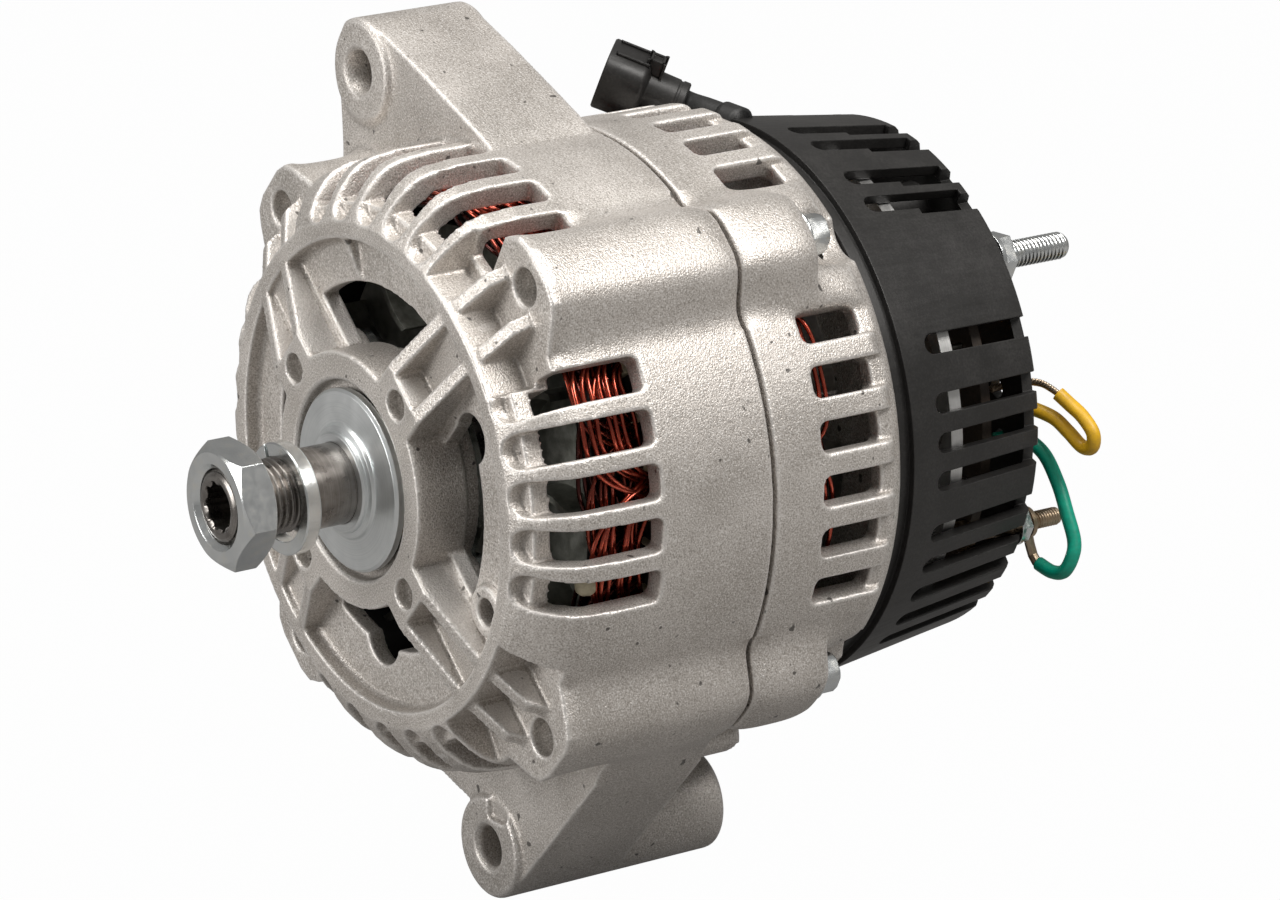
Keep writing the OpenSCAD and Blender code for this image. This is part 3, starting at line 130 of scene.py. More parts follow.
class Bench:
    """Node bench on which the finish of one material, or the light of a world, is put together."""

    def __init__(self, name: str, owner: Optional[bpy.types.World] = None) -> None:
        """Starts an empty node tree.

        Args:
            name: name of the new material.
            owner: world that gets the tree in place of a new material.
        """
        self.material = owner or bpy.data.materials.new(name)
        self.material.use_nodes = True
        self.tree = self.material.node_tree
        self.tree.nodes.clear()

    def node(self, kind: str, settings: Optional[Dict[str, Any]] = None,
             sockets: Optional[Dict[Any, Any]] = None, output: Any = 0) -> Signal:
        """Adds one node.

        Args:
            kind: type name of the node.
            settings: properties set before anything is linked.
            sockets: values or signals by input name or number.
            output: name or number of the output that is handed back.

        Returns:
            The chosen output.
        """
        made = self.tree.nodes.new(kind)
        for key, value in (settings or {}).items():
            setattr(made, key, value)
        for key, value in (sockets or {}).items():
            socket = made.inputs[key]
            if isinstance(value, Signal):
                self.tree.links.new(value.socket, socket)
            elif isinstance(value, tuple) and socket.type == "RGBA" and len(value) == 3:
                socket.default_value = rgba(value)
            else:
                socket.default_value = value
        return Signal(self, made.outputs[output] if output is not None else None)

    def maths(self, operation: str, first: Number, second: Number = 0.0) -> Signal:
        """Adds one maths node on two values."""
        return self.node("ShaderNodeMath", {"operation": operation}, {0: first, 1: second})

    def place(self) -> Signal:
        """Returns the place on the part, in metres."""
        return self.node("ShaderNodeTexCoord", output="Object")

    def radius(self) -> Signal:
        """Works out the distance from the shaft line.

        Returns:
            The distance in metres.
        """
        flat = self.node("ShaderNodeVectorMath", {"operation": "MULTIPLY"},
                         {0: self.place(), 1: (1.0, 0.0, 1.0)})
        return self.node("ShaderNodeVectorMath", {"operation": "LENGTH"}, {0: flat}, output="Value")

    def noise(self, size_mm: float, detail: float = 3.0, roughness: float = 0.6,
              stretch: Point = (1.0, 1.0, 1.0), distortion: float = 0.0) -> Signal:
        """Adds soft noise.

        Args:
            size_mm: size of its features in millimetres.
            detail: number of finer layers.
            roughness: strength of the finer layers.
            stretch: scale along each axis.
            distortion: how far it is warped.

        Returns:
            The noise from 0 to 1.
        """
        at = self.node("ShaderNodeMapping", {"vector_type": "POINT"},
                       {"Vector": self.place(), "Scale": tuple(s / (size_mm * MM) for s in stretch)})
        return self.node("ShaderNodeTexNoise", None, {
            "Vector": at, "Scale": 1.0, "Detail": detail, "Roughness": roughness,
            "Distortion": distortion})

    def blend(self, mask: Number, low: Union[Colour, Signal], high: Union[Colour, Signal],
              how: str = "MIX") -> Signal:
        """Mixes two colours.

        Args:
            mask: share of the second colour.
            low: first colour.
            high: second colour.
            how: way of mixing.

        Returns:
            The mixed colour.
        """
        return self.node("ShaderNodeMix", {"data_type": "RGBA", "blend_type": how},
                         {0: mask, 6: low, 7: high}, output=2)

    def bump(self, height: Signal, depth_mm: float, strength: float = 1.0,
             normal: Optional[Signal] = None) -> Signal:
        """Adds relief.

        Args:
            height: relief from 0 to 1.
            depth_mm: its depth in millimetres.
            strength: how strongly it shows.
            normal: normal that it is laid on.

        Returns:
            The new normal.
        """
        sockets: Dict[Any, Any] = {"Height": height, "Distance": depth_mm * MM, "Strength": strength}
        if normal is not None:
            sockets["Normal"] = normal
        return self.node("ShaderNodeBump", None, sockets)

    def soft_edges(self, radius_mm: float) -> Signal:
        """Returns a normal that rounds sharp edges by a radius."""
        return self.node("ShaderNodeBevel", {"samples": 6}, {"Radius": radius_mm * MM})

    def finish(self, colour: Signal, normal: Signal, mask: Signal, roughness: Tuple[float, float],
               metallic: float = 0.0, extra: Optional[Dict[str, Any]] = None) -> bpy.types.Material:
        """Adds the surface shader and the output.

        Args:
            colour: colour of the surface.
            normal: its normal.
            mask: noise that its roughness follows.
            roughness: roughness where the mask is low and where it is high.
            metallic: 1 for bare metal.
            extra: further values by input name.

        Returns:
            The finished material.
        """
        sockets = {"Base Color": colour, "Metallic": metallic, "Normal": normal,
                   "Roughness": mask.between(0.3, 0.7, *roughness)}
        sockets.update(extra or {})
        return self.close(self.node("ShaderNodeBsdfPrincipled", None, sockets))

    def close(self, surface: Signal, kind: str = "ShaderNodeOutputMaterial") -> bpy.types.Material:
        """Links a shader to the output and returns the material."""
        self.node(kind, None, {"Surface": surface}, output=None)
        return self.material


class Finish:
    """A finish that is made once and shared by the pieces that wear it."""

    slot = ""

    def build(self) -> bpy.types.Material:
        """Puts the material together, in each kind of finish."""
        raise NotImplementedError

    def material(self) -> bpy.types.Material:
        """Returns the material, made on first use."""
        name = type(self).__name__ + "_" + self.slot
        return bpy.data.materials.get(name) or self._named(name)

    def _named(self, name: str) -> bpy.types.Material:
        """Builds the material and names it.

        Args:
            name: its name.

        Returns:
            The material.
        """
        made = self.build()
        made.name = name
        return made

    def dress(self, piece: bpy.types.Object) -> None:
        """Puts the finish on every face.

        Args:
            piece: piece that wears it.
        """
        piece.data.materials.clear()
        piece.data.materials.append(self.material())
        if piece.type == "MESH":
            piece.data.polygons.foreach_set("material_index", [0] * len(piece.data.polygons))


@dataclass(frozen=True)
class CastAlloy(Finish):
    """Shot-blasted aluminium casting: pale, grainy with painted glints, with bright edges and dull hollows.
    """

    slot: str = "cast_alloy"
    pale: Colour = (0.66, 0.622, 0.585)
    dull: Colour = (0.53, 0.493, 0.455)
    bright: Colour = (0.92, 0.895, 0.87)
    dark: Colour = (0.27, 0.242, 0.215)
    inclusion: Colour = (0.06, 0.055, 0.05)
    roughness: float = 0.42
    metallic: float = 0.62
    grain_depth_mm: float = 0.2

    def build(self) -> bpy.types.Material:
        """Puts the material together.

        Returns:
            The finished material.
        """
        b = Bench(self.slot)
        grit_and_glint = b.noise(0.36, detail=1.0, roughness=0.5)
        pits = b.noise(0.8, detail=2.0, roughness=0.6)
        cloud = b.noise(18.0, detail=4.0, roughness=0.55)
        stain = b.noise(6.0, detail=5.0, roughness=0.65)
        speck = b.noise(2.6, detail=1.0, roughness=0.4)
        colour = b.blend(cloud.between(0.3, 0.7), self.dull, self.pale)
        colour = b.blend(stain.between(0.56, 0.8, 0.0, 0.3), colour, self.dull)
        # Bright specks: grain of the blasted skin, partly painted glints.
        colour = b.blend(grit_and_glint.between(0.52, 0.70, 0.0, 0.7), colour, self.bright)
        colour = b.blend(grit_and_glint.between(0.47, 0.30, 0.0, 0.65), colour, self.dark)
        # Lighter on sharp edges and darker in hollows, following the surface's pointiness.
        edge_and_hollow = b.node("ShaderNodeNewGeometry", output="Pointiness")
        colour = b.blend(edge_and_hollow.between(0.503, 0.54, 0.0, 0.5), colour, self.bright)
        colour = b.blend(edge_and_hollow.between(0.497, 0.45, 0.0, 0.6), colour, self.dark)
        colour = b.blend(speck.between(0.745, 0.78, 0.0, 0.8), colour, self.inclusion)
        normal = b.bump(grit_and_glint * 0.6 + pits * 0.4, self.grain_depth_mm)
        return b.finish(colour, normal, cloud, (self.roughness - 0.04, self.roughness + 0.1), self.metallic)


@dataclass(frozen=True)
class PlatedSteel(Finish):
    """Zinc-plated steel with a blue cast, a faint oily tint, fine scratches and soft edges."""

    slot: str = "zinc_steel"
    bright: Colour = (0.88, 0.905, 0.91)
    dull: Colour = (0.76, 0.79, 0.80)
    tint: Colour = (0.86, 0.84, 0.76)
    roughness: float = 0.17
    edge_radius_mm: float = 0.25

    def build(self) -> bpy.types.Material:
        """Puts the material together.

        Returns:
            The finished material.
        """
        b = Bench(self.slot)
        cloud = b.noise(7.0, detail=4.0, roughness=0.55)
        smear = b.noise(2.2, detail=3.0, roughness=0.6)
        scratch = b.noise(0.35, detail=2.0, stretch=(1.0, 0.1, 1.0))
        colour = b.blend(cloud.between(0.35, 0.65), self.dull, self.bright)
        colour = b.blend(smear.between(0.5, 0.75, 0.0, 0.5), colour, self.tint)
        normal = b.bump(scratch * 0.6 + smear * 0.4, 0.012, 0.5, b.soft_edges(self.edge_radius_mm))
        return b.finish(colour, normal, smear, (self.roughness, self.roughness + 0.1), 1.0)


@dataclass(frozen=True)
class TurnedDisc(PlatedSteel):
    """The same plating on a face turned in a lathe, with fine rings round the shaft."""

    slot: str = "turned_disc"
    roughness: float = 0.3
    rings_mm: float = 0.3

    def build(self) -> bpy.types.Material:
        """Puts the material together.

        Returns:
            The finished material.
        """
        b = Bench(self.slot)
        rings = b.node("ShaderNodeTexNoise", {"noise_dimensions": "1D"},
                       {"W": b.radius() * (1.0 / (self.rings_mm * MM)), "Scale": 1.0, "Detail": 2.0})
        cloud = b.noise(8.0, detail=4.0)
        colour = b.blend((cloud * 0.6 + rings * 0.4).between(0.35, 0.65), self.dull, self.bright)
        normal = b.bump(rings, 0.012, 0.8, b.soft_edges(self.edge_radius_mm))
        return b.finish(colour, normal, cloud, (self.roughness, self.roughness + 0.1), 1.0)


@dataclass(frozen=True)
class TurnedSteel(Finish):
    """Machined or rolled metal with fine rings along the shaft direction."""

    slot: str = "shaft_steel"
    bright: Colour = (0.36, 0.34, 0.32)
    dull: Colour = (0.19, 0.175, 0.165)
    roughness: float = 0.22
    metallic: float = 1.0
    edge_radius_mm: float = 0.15
    ring_mm: float = 0.28

    def build(self) -> bpy.types.Material:
        """Puts the material together.

        Returns:
            The finished material.
        """
        b = Bench(self.slot)
        rings = b.noise(self.ring_mm, detail=2.0, stretch=(0.02, 1.0, 0.02))
        cloud = b.noise(4.0, detail=4.0)
        colour = b.blend((cloud * 0.6 + rings * 0.4).between(0.35, 0.65), self.dull, self.bright)
        normal = b.bump(rings, 0.02, 0.7, b.soft_edges(self.edge_radius_mm))
        return b.finish(colour, normal, cloud, (self.roughness, self.roughness + 0.15), self.metallic)


@dataclass(frozen=True)
class Moulding(Finish):
    """Moulded plastic or rubber with a fine grain, faint flow lines, and patches of dust and painted sheen.
    """

    slot: str = "black_plastic"
    colour: Colour = (0.015, 0.0145, 0.014)
    dusty: Colour = (0.034, 0.0325, 0.0315)
    roughness: float = 0.4
    grain_mm: float = 0.5
    grain_depth_mm: float = 0.035
    edge_radius_mm: float = 0.4

    def build(self) -> bpy.types.Material:
        """Puts the material together.

        Returns:
            The finished material.
        """
        b = Bench(self.slot)
        grain = b.noise(self.grain_mm, detail=2.0)
        flow = b.noise(1.1, detail=3.0, stretch=(1.0, 0.06, 1.0))
        patch = b.noise(14.0, detail=5.0, roughness=0.7)
        # Patches in the second colour: dust, and on the black plastic a painted sheen.
        colour = b.blend((patch * 0.5 + grain * 0.5).between(0.45, 0.7), self.colour, self.dusty)
        normal = b.bump(grain * 0.6 + flow * 0.4, self.grain_depth_mm, 0.8,
                        b.soft_edges(self.edge_radius_mm))
        return b.finish(colour, normal, flow * 0.5 + patch * 0.5,
                        (self.roughness - 0.06, self.roughness + 0.12))


@dataclass(frozen=True)
class EnamelledCopper(Finish):
    """Red copper wire under clear enamel, darker where the varnish pools, with painted shade inside the
    head.
    """

    slot: str = "copper_wire"
    bright: Colour = (0.58, 0.105, 0.055)
    middle: Colour = (0.33, 0.045, 0.024)
    dark: Colour = (0.07, 0.009, 0.006)
    roughness: float = 0.17
    lit_r_mm: float = 58.8
    deep_r_mm: float = 56.5

    def build(self) -> bpy.types.Material:
        """Puts the material together.

        Returns:
            The finished material.
        """
        b = Bench(self.slot)
        cloud = b.noise(5.0, detail=3.0)
        drops = b.noise(2.6, detail=2.0)
        # Painted shade: share of the dark colour, rising towards the shaft inside the winding head.
        deep = b.radius().between(self.lit_r_mm * MM, self.deep_r_mm * MM)
        colour = b.blend(cloud.between(0.35, 0.65), self.middle, self.bright)
        colour = b.blend(drops.between(0.55, 0.75, 0.0, 0.7), colour, self.middle)
        colour = b.blend(deep, colour, self.dark)
        normal = b.bump(drops, 0.04, 0.5)
        return b.finish(colour, normal, drops, (self.roughness, self.roughness + 0.14), 0.9,
                        {"Coat Weight": 0.5, "Coat Roughness": 0.1})


@dataclass(frozen=True)
class PaintedSheet(Finish):
    """Dark coated or phosphated metal with a dull, uneven skin."""

    slot: str = "fan_sheet"
    colour: Colour = (0.235, 0.24, 0.215)
    dark: Colour = (0.12, 0.122, 0.105)
    metallic: float = 0.7
    roughness: float = 0.42
    stripe_mm: float = 0.0
    edge_radius_mm: float = 0.2

    def build(self) -> bpy.types.Material:
        """Puts the material together.

        Returns:
            The finished material.
        """
        b = Bench(self.slot)
        cloud = b.noise(3.0, detail=5.0)
        grain = b.noise(0.5, detail=2.0)
        height = grain
        if self.stripe_mm:
            height = b.noise(self.stripe_mm, detail=1.0, stretch=(0.01, 1.0, 0.01)) * 0.8 + grain * 0.2
        colour = b.blend(cloud.between(0.35, 0.65), self.dark, self.colour)
        normal = b.bump(height, 0.06, 0.8, b.soft_edges(self.edge_radius_mm))
        return b.finish(colour, normal, cloud, (self.roughness, self.roughness + 0.2), self.metallic)


FINISHES: Dict[str, Finish] = {
    "cast_alloy": CastAlloy(),
    "plate_alloy": TurnedSteel("plate_alloy", (0.86, 0.86, 0.85), (0.66, 0.66, 0.65), 0.34, 0.9),
    "zinc_steel": PlatedSteel(),
    "bearing_steel": TurnedSteel("bearing_steel", (0.62, 0.62, 0.62), (0.42, 0.42, 0.43), 0.18),
    "shaft_steel": TurnedSteel(),
    "lamination_steel": PaintedSheet("lamination_steel", (0.12, 0.11, 0.105), (0.05, 0.045, 0.042),
                                     0.5, 0.5, 0.9),
    "copper_wire": EnamelledCopper(),
    "insulation_paper": Moulding("insulation_paper", (0.60, 0.55, 0.40), (0.42, 0.36, 0.24), 0.6,
                                 0.8, 0.08, 0.1),
    "black_plastic": Moulding(),
    "black_rubber": Moulding("black_rubber", (0.012, 0.012, 0.012), (0.03, 0.03, 0.03), 0.48, 0.6,
                             0.03, 0.3),
    "yellow_insulation": Moulding("yellow_insulation", (0.74, 0.43, 0.015), (0.52, 0.30, 0.03), 0.38,
                                  1.2, 0.05, 0.1),
    "green_insulation": Moulding("green_insulation", (0.0, 0.34, 0.22), (0.01, 0.22, 0.15), 0.38,
                                 1.2, 0.05, 0.1),
    "tinned_metal": PlatedSteel("tinned_metal", (0.62, 0.52, 0.40), (0.34, 0.24, 0.15),
                                (0.50, 0.36, 0.22), 0.34, 0.1),
    "brown_plastic": Moulding("brown_plastic", (0.05, 0.035, 0.025), (0.09, 0.07, 0.05), 0.5, 0.5,
                              0.04, 0.25),
    "diode_metal": TurnedSteel("diode_metal", (0.66, 0.65, 0.62), (0.45, 0.44, 0.42), 0.3),
    "regulator_case": Moulding("regulator_case", (0.03, 0.03, 0.032), (0.06, 0.06, 0.06), 0.45, 0.5,
                               0.04, 0.25),
    "rotor_iron": PaintedSheet("rotor_iron", (0.16, 0.155, 0.15), (0.07, 0.068, 0.065), 0.75, 0.45,
                               0.0, 0.3),
    "fan_sheet": PaintedSheet(),
    "ring_copper": TurnedSteel("ring_copper", (0.70, 0.36, 0.17), (0.45, 0.22, 0.10), 0.22),
    "cage_brass": TurnedSteel("cage_brass", (0.62, 0.46, 0.2), (0.42, 0.3, 0.13), 0.3),
    "carbon": Moulding("carbon", (0.010, 0.009, 0.009), (0.02, 0.018, 0.018), 0.55, 0.4, 0.05, 0.2),
    "spring_steel": PlatedSteel("spring_steel", (0.62, 0.62, 0.63), (0.42, 0.42, 0.43),
                                (0.55, 0.55, 0.52), 0.28, 0.05),
}


def node_object(name: str) -> bpy.types.Object:
    """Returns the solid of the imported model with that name."""
    return frame["nodes"][name]


def new_piece(name: str, mesh: bpy.types.Mesh, slot: str, body: str,
              replaces: Sequence[str] = ()) -> bpy.types.Object:
    """Makes a piece from a mesh, dresses it and lets it ride on a body.

    Args:
        name: name of the piece.
        mesh: its mesh in the part's own frame.
        slot: material slot it takes its finish from.
        body: body it moves with.
        replaces: solids that it stands for.

    Returns:
        The new piece.
    """
    piece = bpy.data.objects.new(name, mesh)
    bpy.context.scene.collection.objects.link(piece)
    FINISHES[slot].dress(piece)
    if replaces:
        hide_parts(*replaces)
    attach(piece, body)
    log.info("%s: %d faces", name, len(mesh.polygons))
    return piece


def mesh_of(name: str, verts: np.ndarray, faces: Sequence[Sequence[int]]) -> bpy.types.Mesh:
    """Makes a smooth-shaded mesh.

    Args:
        name: name of the mesh.
        verts: its points in metres.
        faces: numbers of the points of each face.

    Returns:
        The mesh.
    """
    mesh = bpy.data.meshes.new(name)
    mesh.from_pydata([tuple(v) for v in verts], [], faces)
    smooth(mesh)
    mesh.update()
    return mesh


def smooth(mesh: bpy.types.Mesh) -> None:
    """Shades every face of a mesh smoothly."""
    mesh.polygons.foreach_set("use_smooth", [True] * len(mesh.polygons))


def mesh_from(name: str, bm: bmesh.types.BMesh) -> bpy.types.Mesh:
    """Turns a closed shape into a mesh with its faces outwards.

    Args:
        name: name of the mesh.
        bm: the shape, freed here.

    Returns:
        The mesh.
    """
    bmesh.ops.recalc_face_normals(bm, faces=bm.faces)
    mesh = bpy.data.meshes.new(name)
    bm.to_mesh(mesh)
    bm.free()
    return mesh


def circle(bm: bmesh.types.BMesh, radius: float, depth: float, sides: int,
           x: float = 0.0, z: float = 0.0) -> List[bmesh.types.BMVert]:
    """Adds a circle of points across the shaft direction.

    Args:
        bm: shape it goes into.
        radius: its radius in millimetres.
        depth: its depth along the shaft.
        sides: number of its points.
        x: its middle to the right.
        z: its middle upwards.

    Returns:
        The points in order.
    """
    return [bm.verts.new(((x + radius * math.cos(t)) * MM, depth * MM, (z + radius * math.sin(t)) * MM))
            for t in np.linspace(0, 2 * math.pi, sides, endpoint=False)]


def bridge(bm: bmesh.types.BMesh, rows: Sequence[List[bmesh.types.BMVert]], closed: bool = False) -> None:
    """Joins each row of points to the next by faces.

    Args:
        bm: shape they are in.
        rows: rows of as many points each.
        closed: whether the last row joins the first.
    """
    for k in range(len(rows) if closed else len(rows) - 1):
        low, high = rows[k], rows[(k + 1) % len(rows)]
        for i in range(len(low)):
            j = (i + 1) % len(low)
            bm.faces.new((low[i], low[j], high[j], high[i]))


class TubeSet:
    """Collects round tubes that follow paths and makes one mesh of them."""

    def __init__(self, sides: int = 8) -> None:
        """Starts empty.

        Args:
            sides: number of sides of each tube.
        """
        self.sides = sides
        self.verts: List[np.ndarray] = []
        self.faces: List[Tuple[int, ...]] = []
        self.count = 0

    def add(self, path: np.ndarray, radius: Union[float, np.ndarray]) -> None:
        """Adds a closed tube along a path.

        Args:
            path: points in metres.
            radius: one radius, or one for each point, in metres.
        """
        n, k = len(path), self.sides
        radii = np.broadcast_to(np.asarray(radius, float), (n,))
        tangent = np.gradient(path, axis=0)
        tangent /= np.linalg.norm(tangent, axis=1)[:, None] + 1e-12
        side = np.cross(tangent[0], (0.31, 0.17, 0.93))
        side /= np.linalg.norm(side)
        angles = np.linspace(0, 2 * math.pi, k, endpoint=False)
        for i in range(n):
            side = side - tangent[i] * np.dot(side, tangent[i])
            side /= np.linalg.norm(side)
            other = np.cross(tangent[i], side)
            ring = path[i] + radii[i] * (np.cos(angles)[:, None] * side + np.sin(angles)[:, None] * other)
            self.verts.append(ring)
        base = self.count
        for i in range(n - 1):
            for j in range(k):
                a, c = base + i * k + j, base + i * k + (j + 1) % k
                self.faces.append((a, c, c + k, a + k))
        self.faces.append(tuple(base + j for j in range(k))[::-1])
        self.faces.append(tuple(base + (n - 1) * k + j for j in range(k)))
        self.count += n * k

    def mesh(self, name: str) -> bpy.types.Mesh:
        """Returns all the tubes as one mesh."""
        return mesh_of(name, np.concatenate(self.verts), self.faces)


def smooth_path(points: Sequence[Point], steps: int) -> np.ndarray:
    """Runs a smooth curve through points.

    Args:
        points: points in millimetres.
        steps: number of steps between two points.

    Returns:
        The curve's points in metres.
    """
    p = np.asarray(points, float) * MM
    out = []
    for i in range(len(p) - 1):
        a, b, c, d = p[max(i - 1, 0)], p[i], p[i + 1], p[min(i + 2, len(p) - 1)]
        for k in range(steps):
            t = k / steps
            out.append(0.5 * (2 * b + (c - a) * t + (2 * a - 5 * b + 4 * c - d) * t * t
                              + (3 * b - a - 3 * c + d) * t ** 3))
    out.append(p[-1])
    return np.array(out)


class Rod:
    """Round piece along the shaft direction, built from rings that may be shaped round their edge."""

    def __init__(self, x: float, z: float, sides: int) -> None:
        """Starts a rod without rings.

        Args:
            x: place of its line to the right, in millimetres.
            z: place of its line upwards.
            sides: number of points of each ring.
        """
        self.x, self.z, self.sides = x, z, sides
        self.angles = np.linspace(0, 2 * math.pi, sides, endpoint=False)
        self.rows: List[np.ndarray] = []

    def ring(self, y: float, radius: Union[float, np.ndarray]) -> None:
        """Adds a ring.

        Args:
            y: its depth in millimetres.
            radius: one radius, or one for each of its points.
        """
        r = np.broadcast_to(np.asarray(radius, float), (self.sides,))
        self.rows.append(np.stack([self.x + r * np.cos(self.angles), np.full(self.sides, y),
                                   self.z + r * np.sin(self.angles)], 1) * MM)

    def rings(self, rows: Sequence[Tuple[float, Any]]) -> None:
        """Adds rings from pairs of a depth and a radius."""
        for y, radius in rows:
            self.ring(y, radius)

    def hexagon(self, across: float) -> np.ndarray:
        """Returns the radii of a hexagon measured across its flats."""
        return across / 2 / np.cos((self.angles % (math.pi / 3)) - math.pi / 6)

    def thread(self, start: float, end: float, major: float, pitch: float, depth: float,
               run_out: float = 0.8) -> None:
        """Adds a right-hand thread.

        Args:
            start: depth where it begins.
            end: depth where it ends.
            major: outside radius.
            pitch: distance between two turns.
            depth: how deep it is cut.
            run_out: length over which it fades at both ends.
        """
        for y in np.arange(start, end, pitch / 14):
            t = (y / pitch + self.angles / (2 * math.pi)) % 1.0
            groove = 0.5 - 0.5 * np.cos(2 * math.pi * t)
            fade = min(1.0, (y - start) / run_out, (end - y) / run_out)
            self.ring(y, major - depth * (groove * fade + (1 - fade) * 0.75))

    def mesh(self, name: str, sharp_deg: float = 32.0) -> bpy.types.Mesh:
        """Closes the rows into one mesh.

        Args:
            name: name of the mesh.
            sharp_deg: angle from which an edge stays crisp.

        Returns:
            The mesh.
        """
        k, n = self.sides, len(self.rows)
        faces: List[Tuple[int, ...]] = [tuple(range(k))]
        for i in range(n - 1):
            for j in range(k):
                a, c = i * k + j, i * k + (j + 1) % k
                faces.append((a, a + k, c + k, c))
        faces.append(tuple((n - 1) * k + j for j in range(k))[::-1])
        mesh = mesh_of(name, np.concatenate(self.rows), faces)
        bm = bmesh.new()
        bm.from_mesh(mesh)
        bmesh.ops.recalc_face_normals(bm, faces=bm.faces)
        bm.to_mesh(mesh)
        bm.free()
        mesh.set_sharp_from_angle(angle=math.radians(sharp_deg))
        return mesh


@dataclass
class DriveEnd:
    """The shaft with its thread and toothed socket."""

    reach: float = 31.6
    thread_r: float = 8.0
    thread_len: float = 16.4
    thread_depth: float = 0.9
    pitch: float = 1.5
    seat_r: float = 8.65
    front_bearing_r: float = 8.5
    rotor_r: float = 9.4
    rear_bearing_r: float = 7.5
    ring_r: float = 5.6
    socket_r: float = 5.0
    socket_depth: float = 13.0
    teeth: int = 10
    end: float = 127.6

    def build(self) -> None:
        """Makes the shaft as one turned piece, from the bottom of its socket to its rear end."""
        rod = Rod(0, 0, 120)
        wall = self.socket_r + 0.3 * np.clip(1.9 * np.cos(self.teeth * rod.angles), -1, 1)
        y0 = -self.reach
        rod.ring(y0 + self.socket_depth, NEARLY_NOTHING)
        rod.rings([(y0 + y, wall) for y in (self.socket_depth, 9, 5, 1.2, 0.5)])
        rod.rings([(y0 + 0.05, np.maximum(wall, 5.5)), (y0, 6.1), (y0, 6.5), (y0 + 0.2, 6.9)])
        rod.thread(y0 + 0.5, y0 + self.thread_len, self.thread_r, self.pitch, self.thread_depth, 0.9)
        rod.rings([(y0 + 16.5, 7.0), (y0 + 17.6, 7.0), (y0 + 18.5, 8.5), (y0 + 18.7, self.seat_r),
                   (-6.0, self.seat_r), (-0.4, self.seat_r), (0, self.front_bearing_r),
                   (22, self.front_bearing_r), (22.6, self.rotor_r), (78, self.rotor_r),
                   (79, self.rear_bearing_r), (101, self.rear_bearing_r), (101.6, self.ring_r),
                   (127, self.ring_r), (self.end, self.ring_r - 0.6), (self.end, NEARLY_NOTHING)])
        new_piece("turned_shaft", rod.mesh("turned_shaft"), "shaft_steel", "rotor", ["shaft"])


@dataclass
class Terminals:
    """The two threaded terminals that stand out of the cover and the bare ends of the wires."""

    stud_circle_r: float = 50.0
    stud_angle: float = 40.0
    stud_r: float = 3.0
    stud_shank_r: float = 2.6
    stud_foot_af: float = 9.0
    small_at: Tuple[float, float] = (45.5, -25.5)
    small_r: float = 2.0
    small_shank_r: float = 1.75
    strands: int = 5
    strand_r: float = 0.36
    strand_twist_r: float = 0.52
    strand_turns: float = 4.5

    def main_stud(self) -> None:
        """Makes the battery terminal with its hexagon foot."""
        a, shank = math.radians(self.stud_angle), self.stud_shank_r
        rod = Rod(self.stud_circle_r * math.cos(a), self.stud_circle_r * math.sin(a), 60)
        foot = rod.hexagon(self.stud_foot_af)
        rod.rings([(110.4, NEARLY_NOTHING), (110.4, foot), (114, foot), (114.02, shank), (137, shank)])
        rod.thread(137.5, 158.3, self.stud_r, 1.0, 0.42, 0.7)
        rod.rings([(158.4, shank), (158.95, 2.1), (158.97, NEARLY_NOTHING)])
        stud = new_piece("battery_terminal", rod.mesh("battery_terminal", 55), "zinc_steel", "frame",
                         ["main_stud"])
        PlatedSteel("thread_zinc", edge_radius_mm=0.03).dress(stud)

    def small_stud(self) -> None:
        """Makes the small terminal with its round foot."""
        rod = Rod(*self.small_at, 48)
        rod.rings([(124.4, NEARLY_NOTHING), (124.4, 3.4), (126, 3.4), (126.02, self.small_shank_r),
                   (137, self.small_shank_r)])
        rod.thread(137.4, 150.6, self.small_r, 0.7, 0.32, 0.5)
        rod.rings([(150.9, 1.4), (150.95, NEARLY_NOTHING)])
        new_piece("small_terminal", rod.mesh("small_terminal"), "tinned_metal", "frame", ["small_stud"])

    def bare_wire(self) -> None:
        """Makes the twisted bare strands between the cover and the yellow insulation."""
        tubes = TubeSet(8)
        core = smooth_path([(44.6, 134, 5.4), (45.0, 138, 5.8), (47.2, 141.2, 6.3), (50.6, 142.8, 6.4),
                            (53.2, 144.0, 5.3), (54.8, 145.0, 4.0)], 10)
        turn = np.linspace(0, 2 * math.pi * self.strand_turns, len(core))
        for k in range(self.strands):
            a = turn + 2 * math.pi * k / self.strands
            off = np.stack([np.cos(a), np.zeros(len(a)), np.sin(a)], 1) * self.strand_twist_r * MM
            tubes.add(core + off, self.strand_r * MM)
        new_piece("bare_strands", tubes.mesh("bare_strands"), "tinned_metal", "frame")

    def build(self) -> None:
        """Makes both terminals and the bare strands."""
        self.main_stud()
        self.small_stud()
        self.bare_wire()


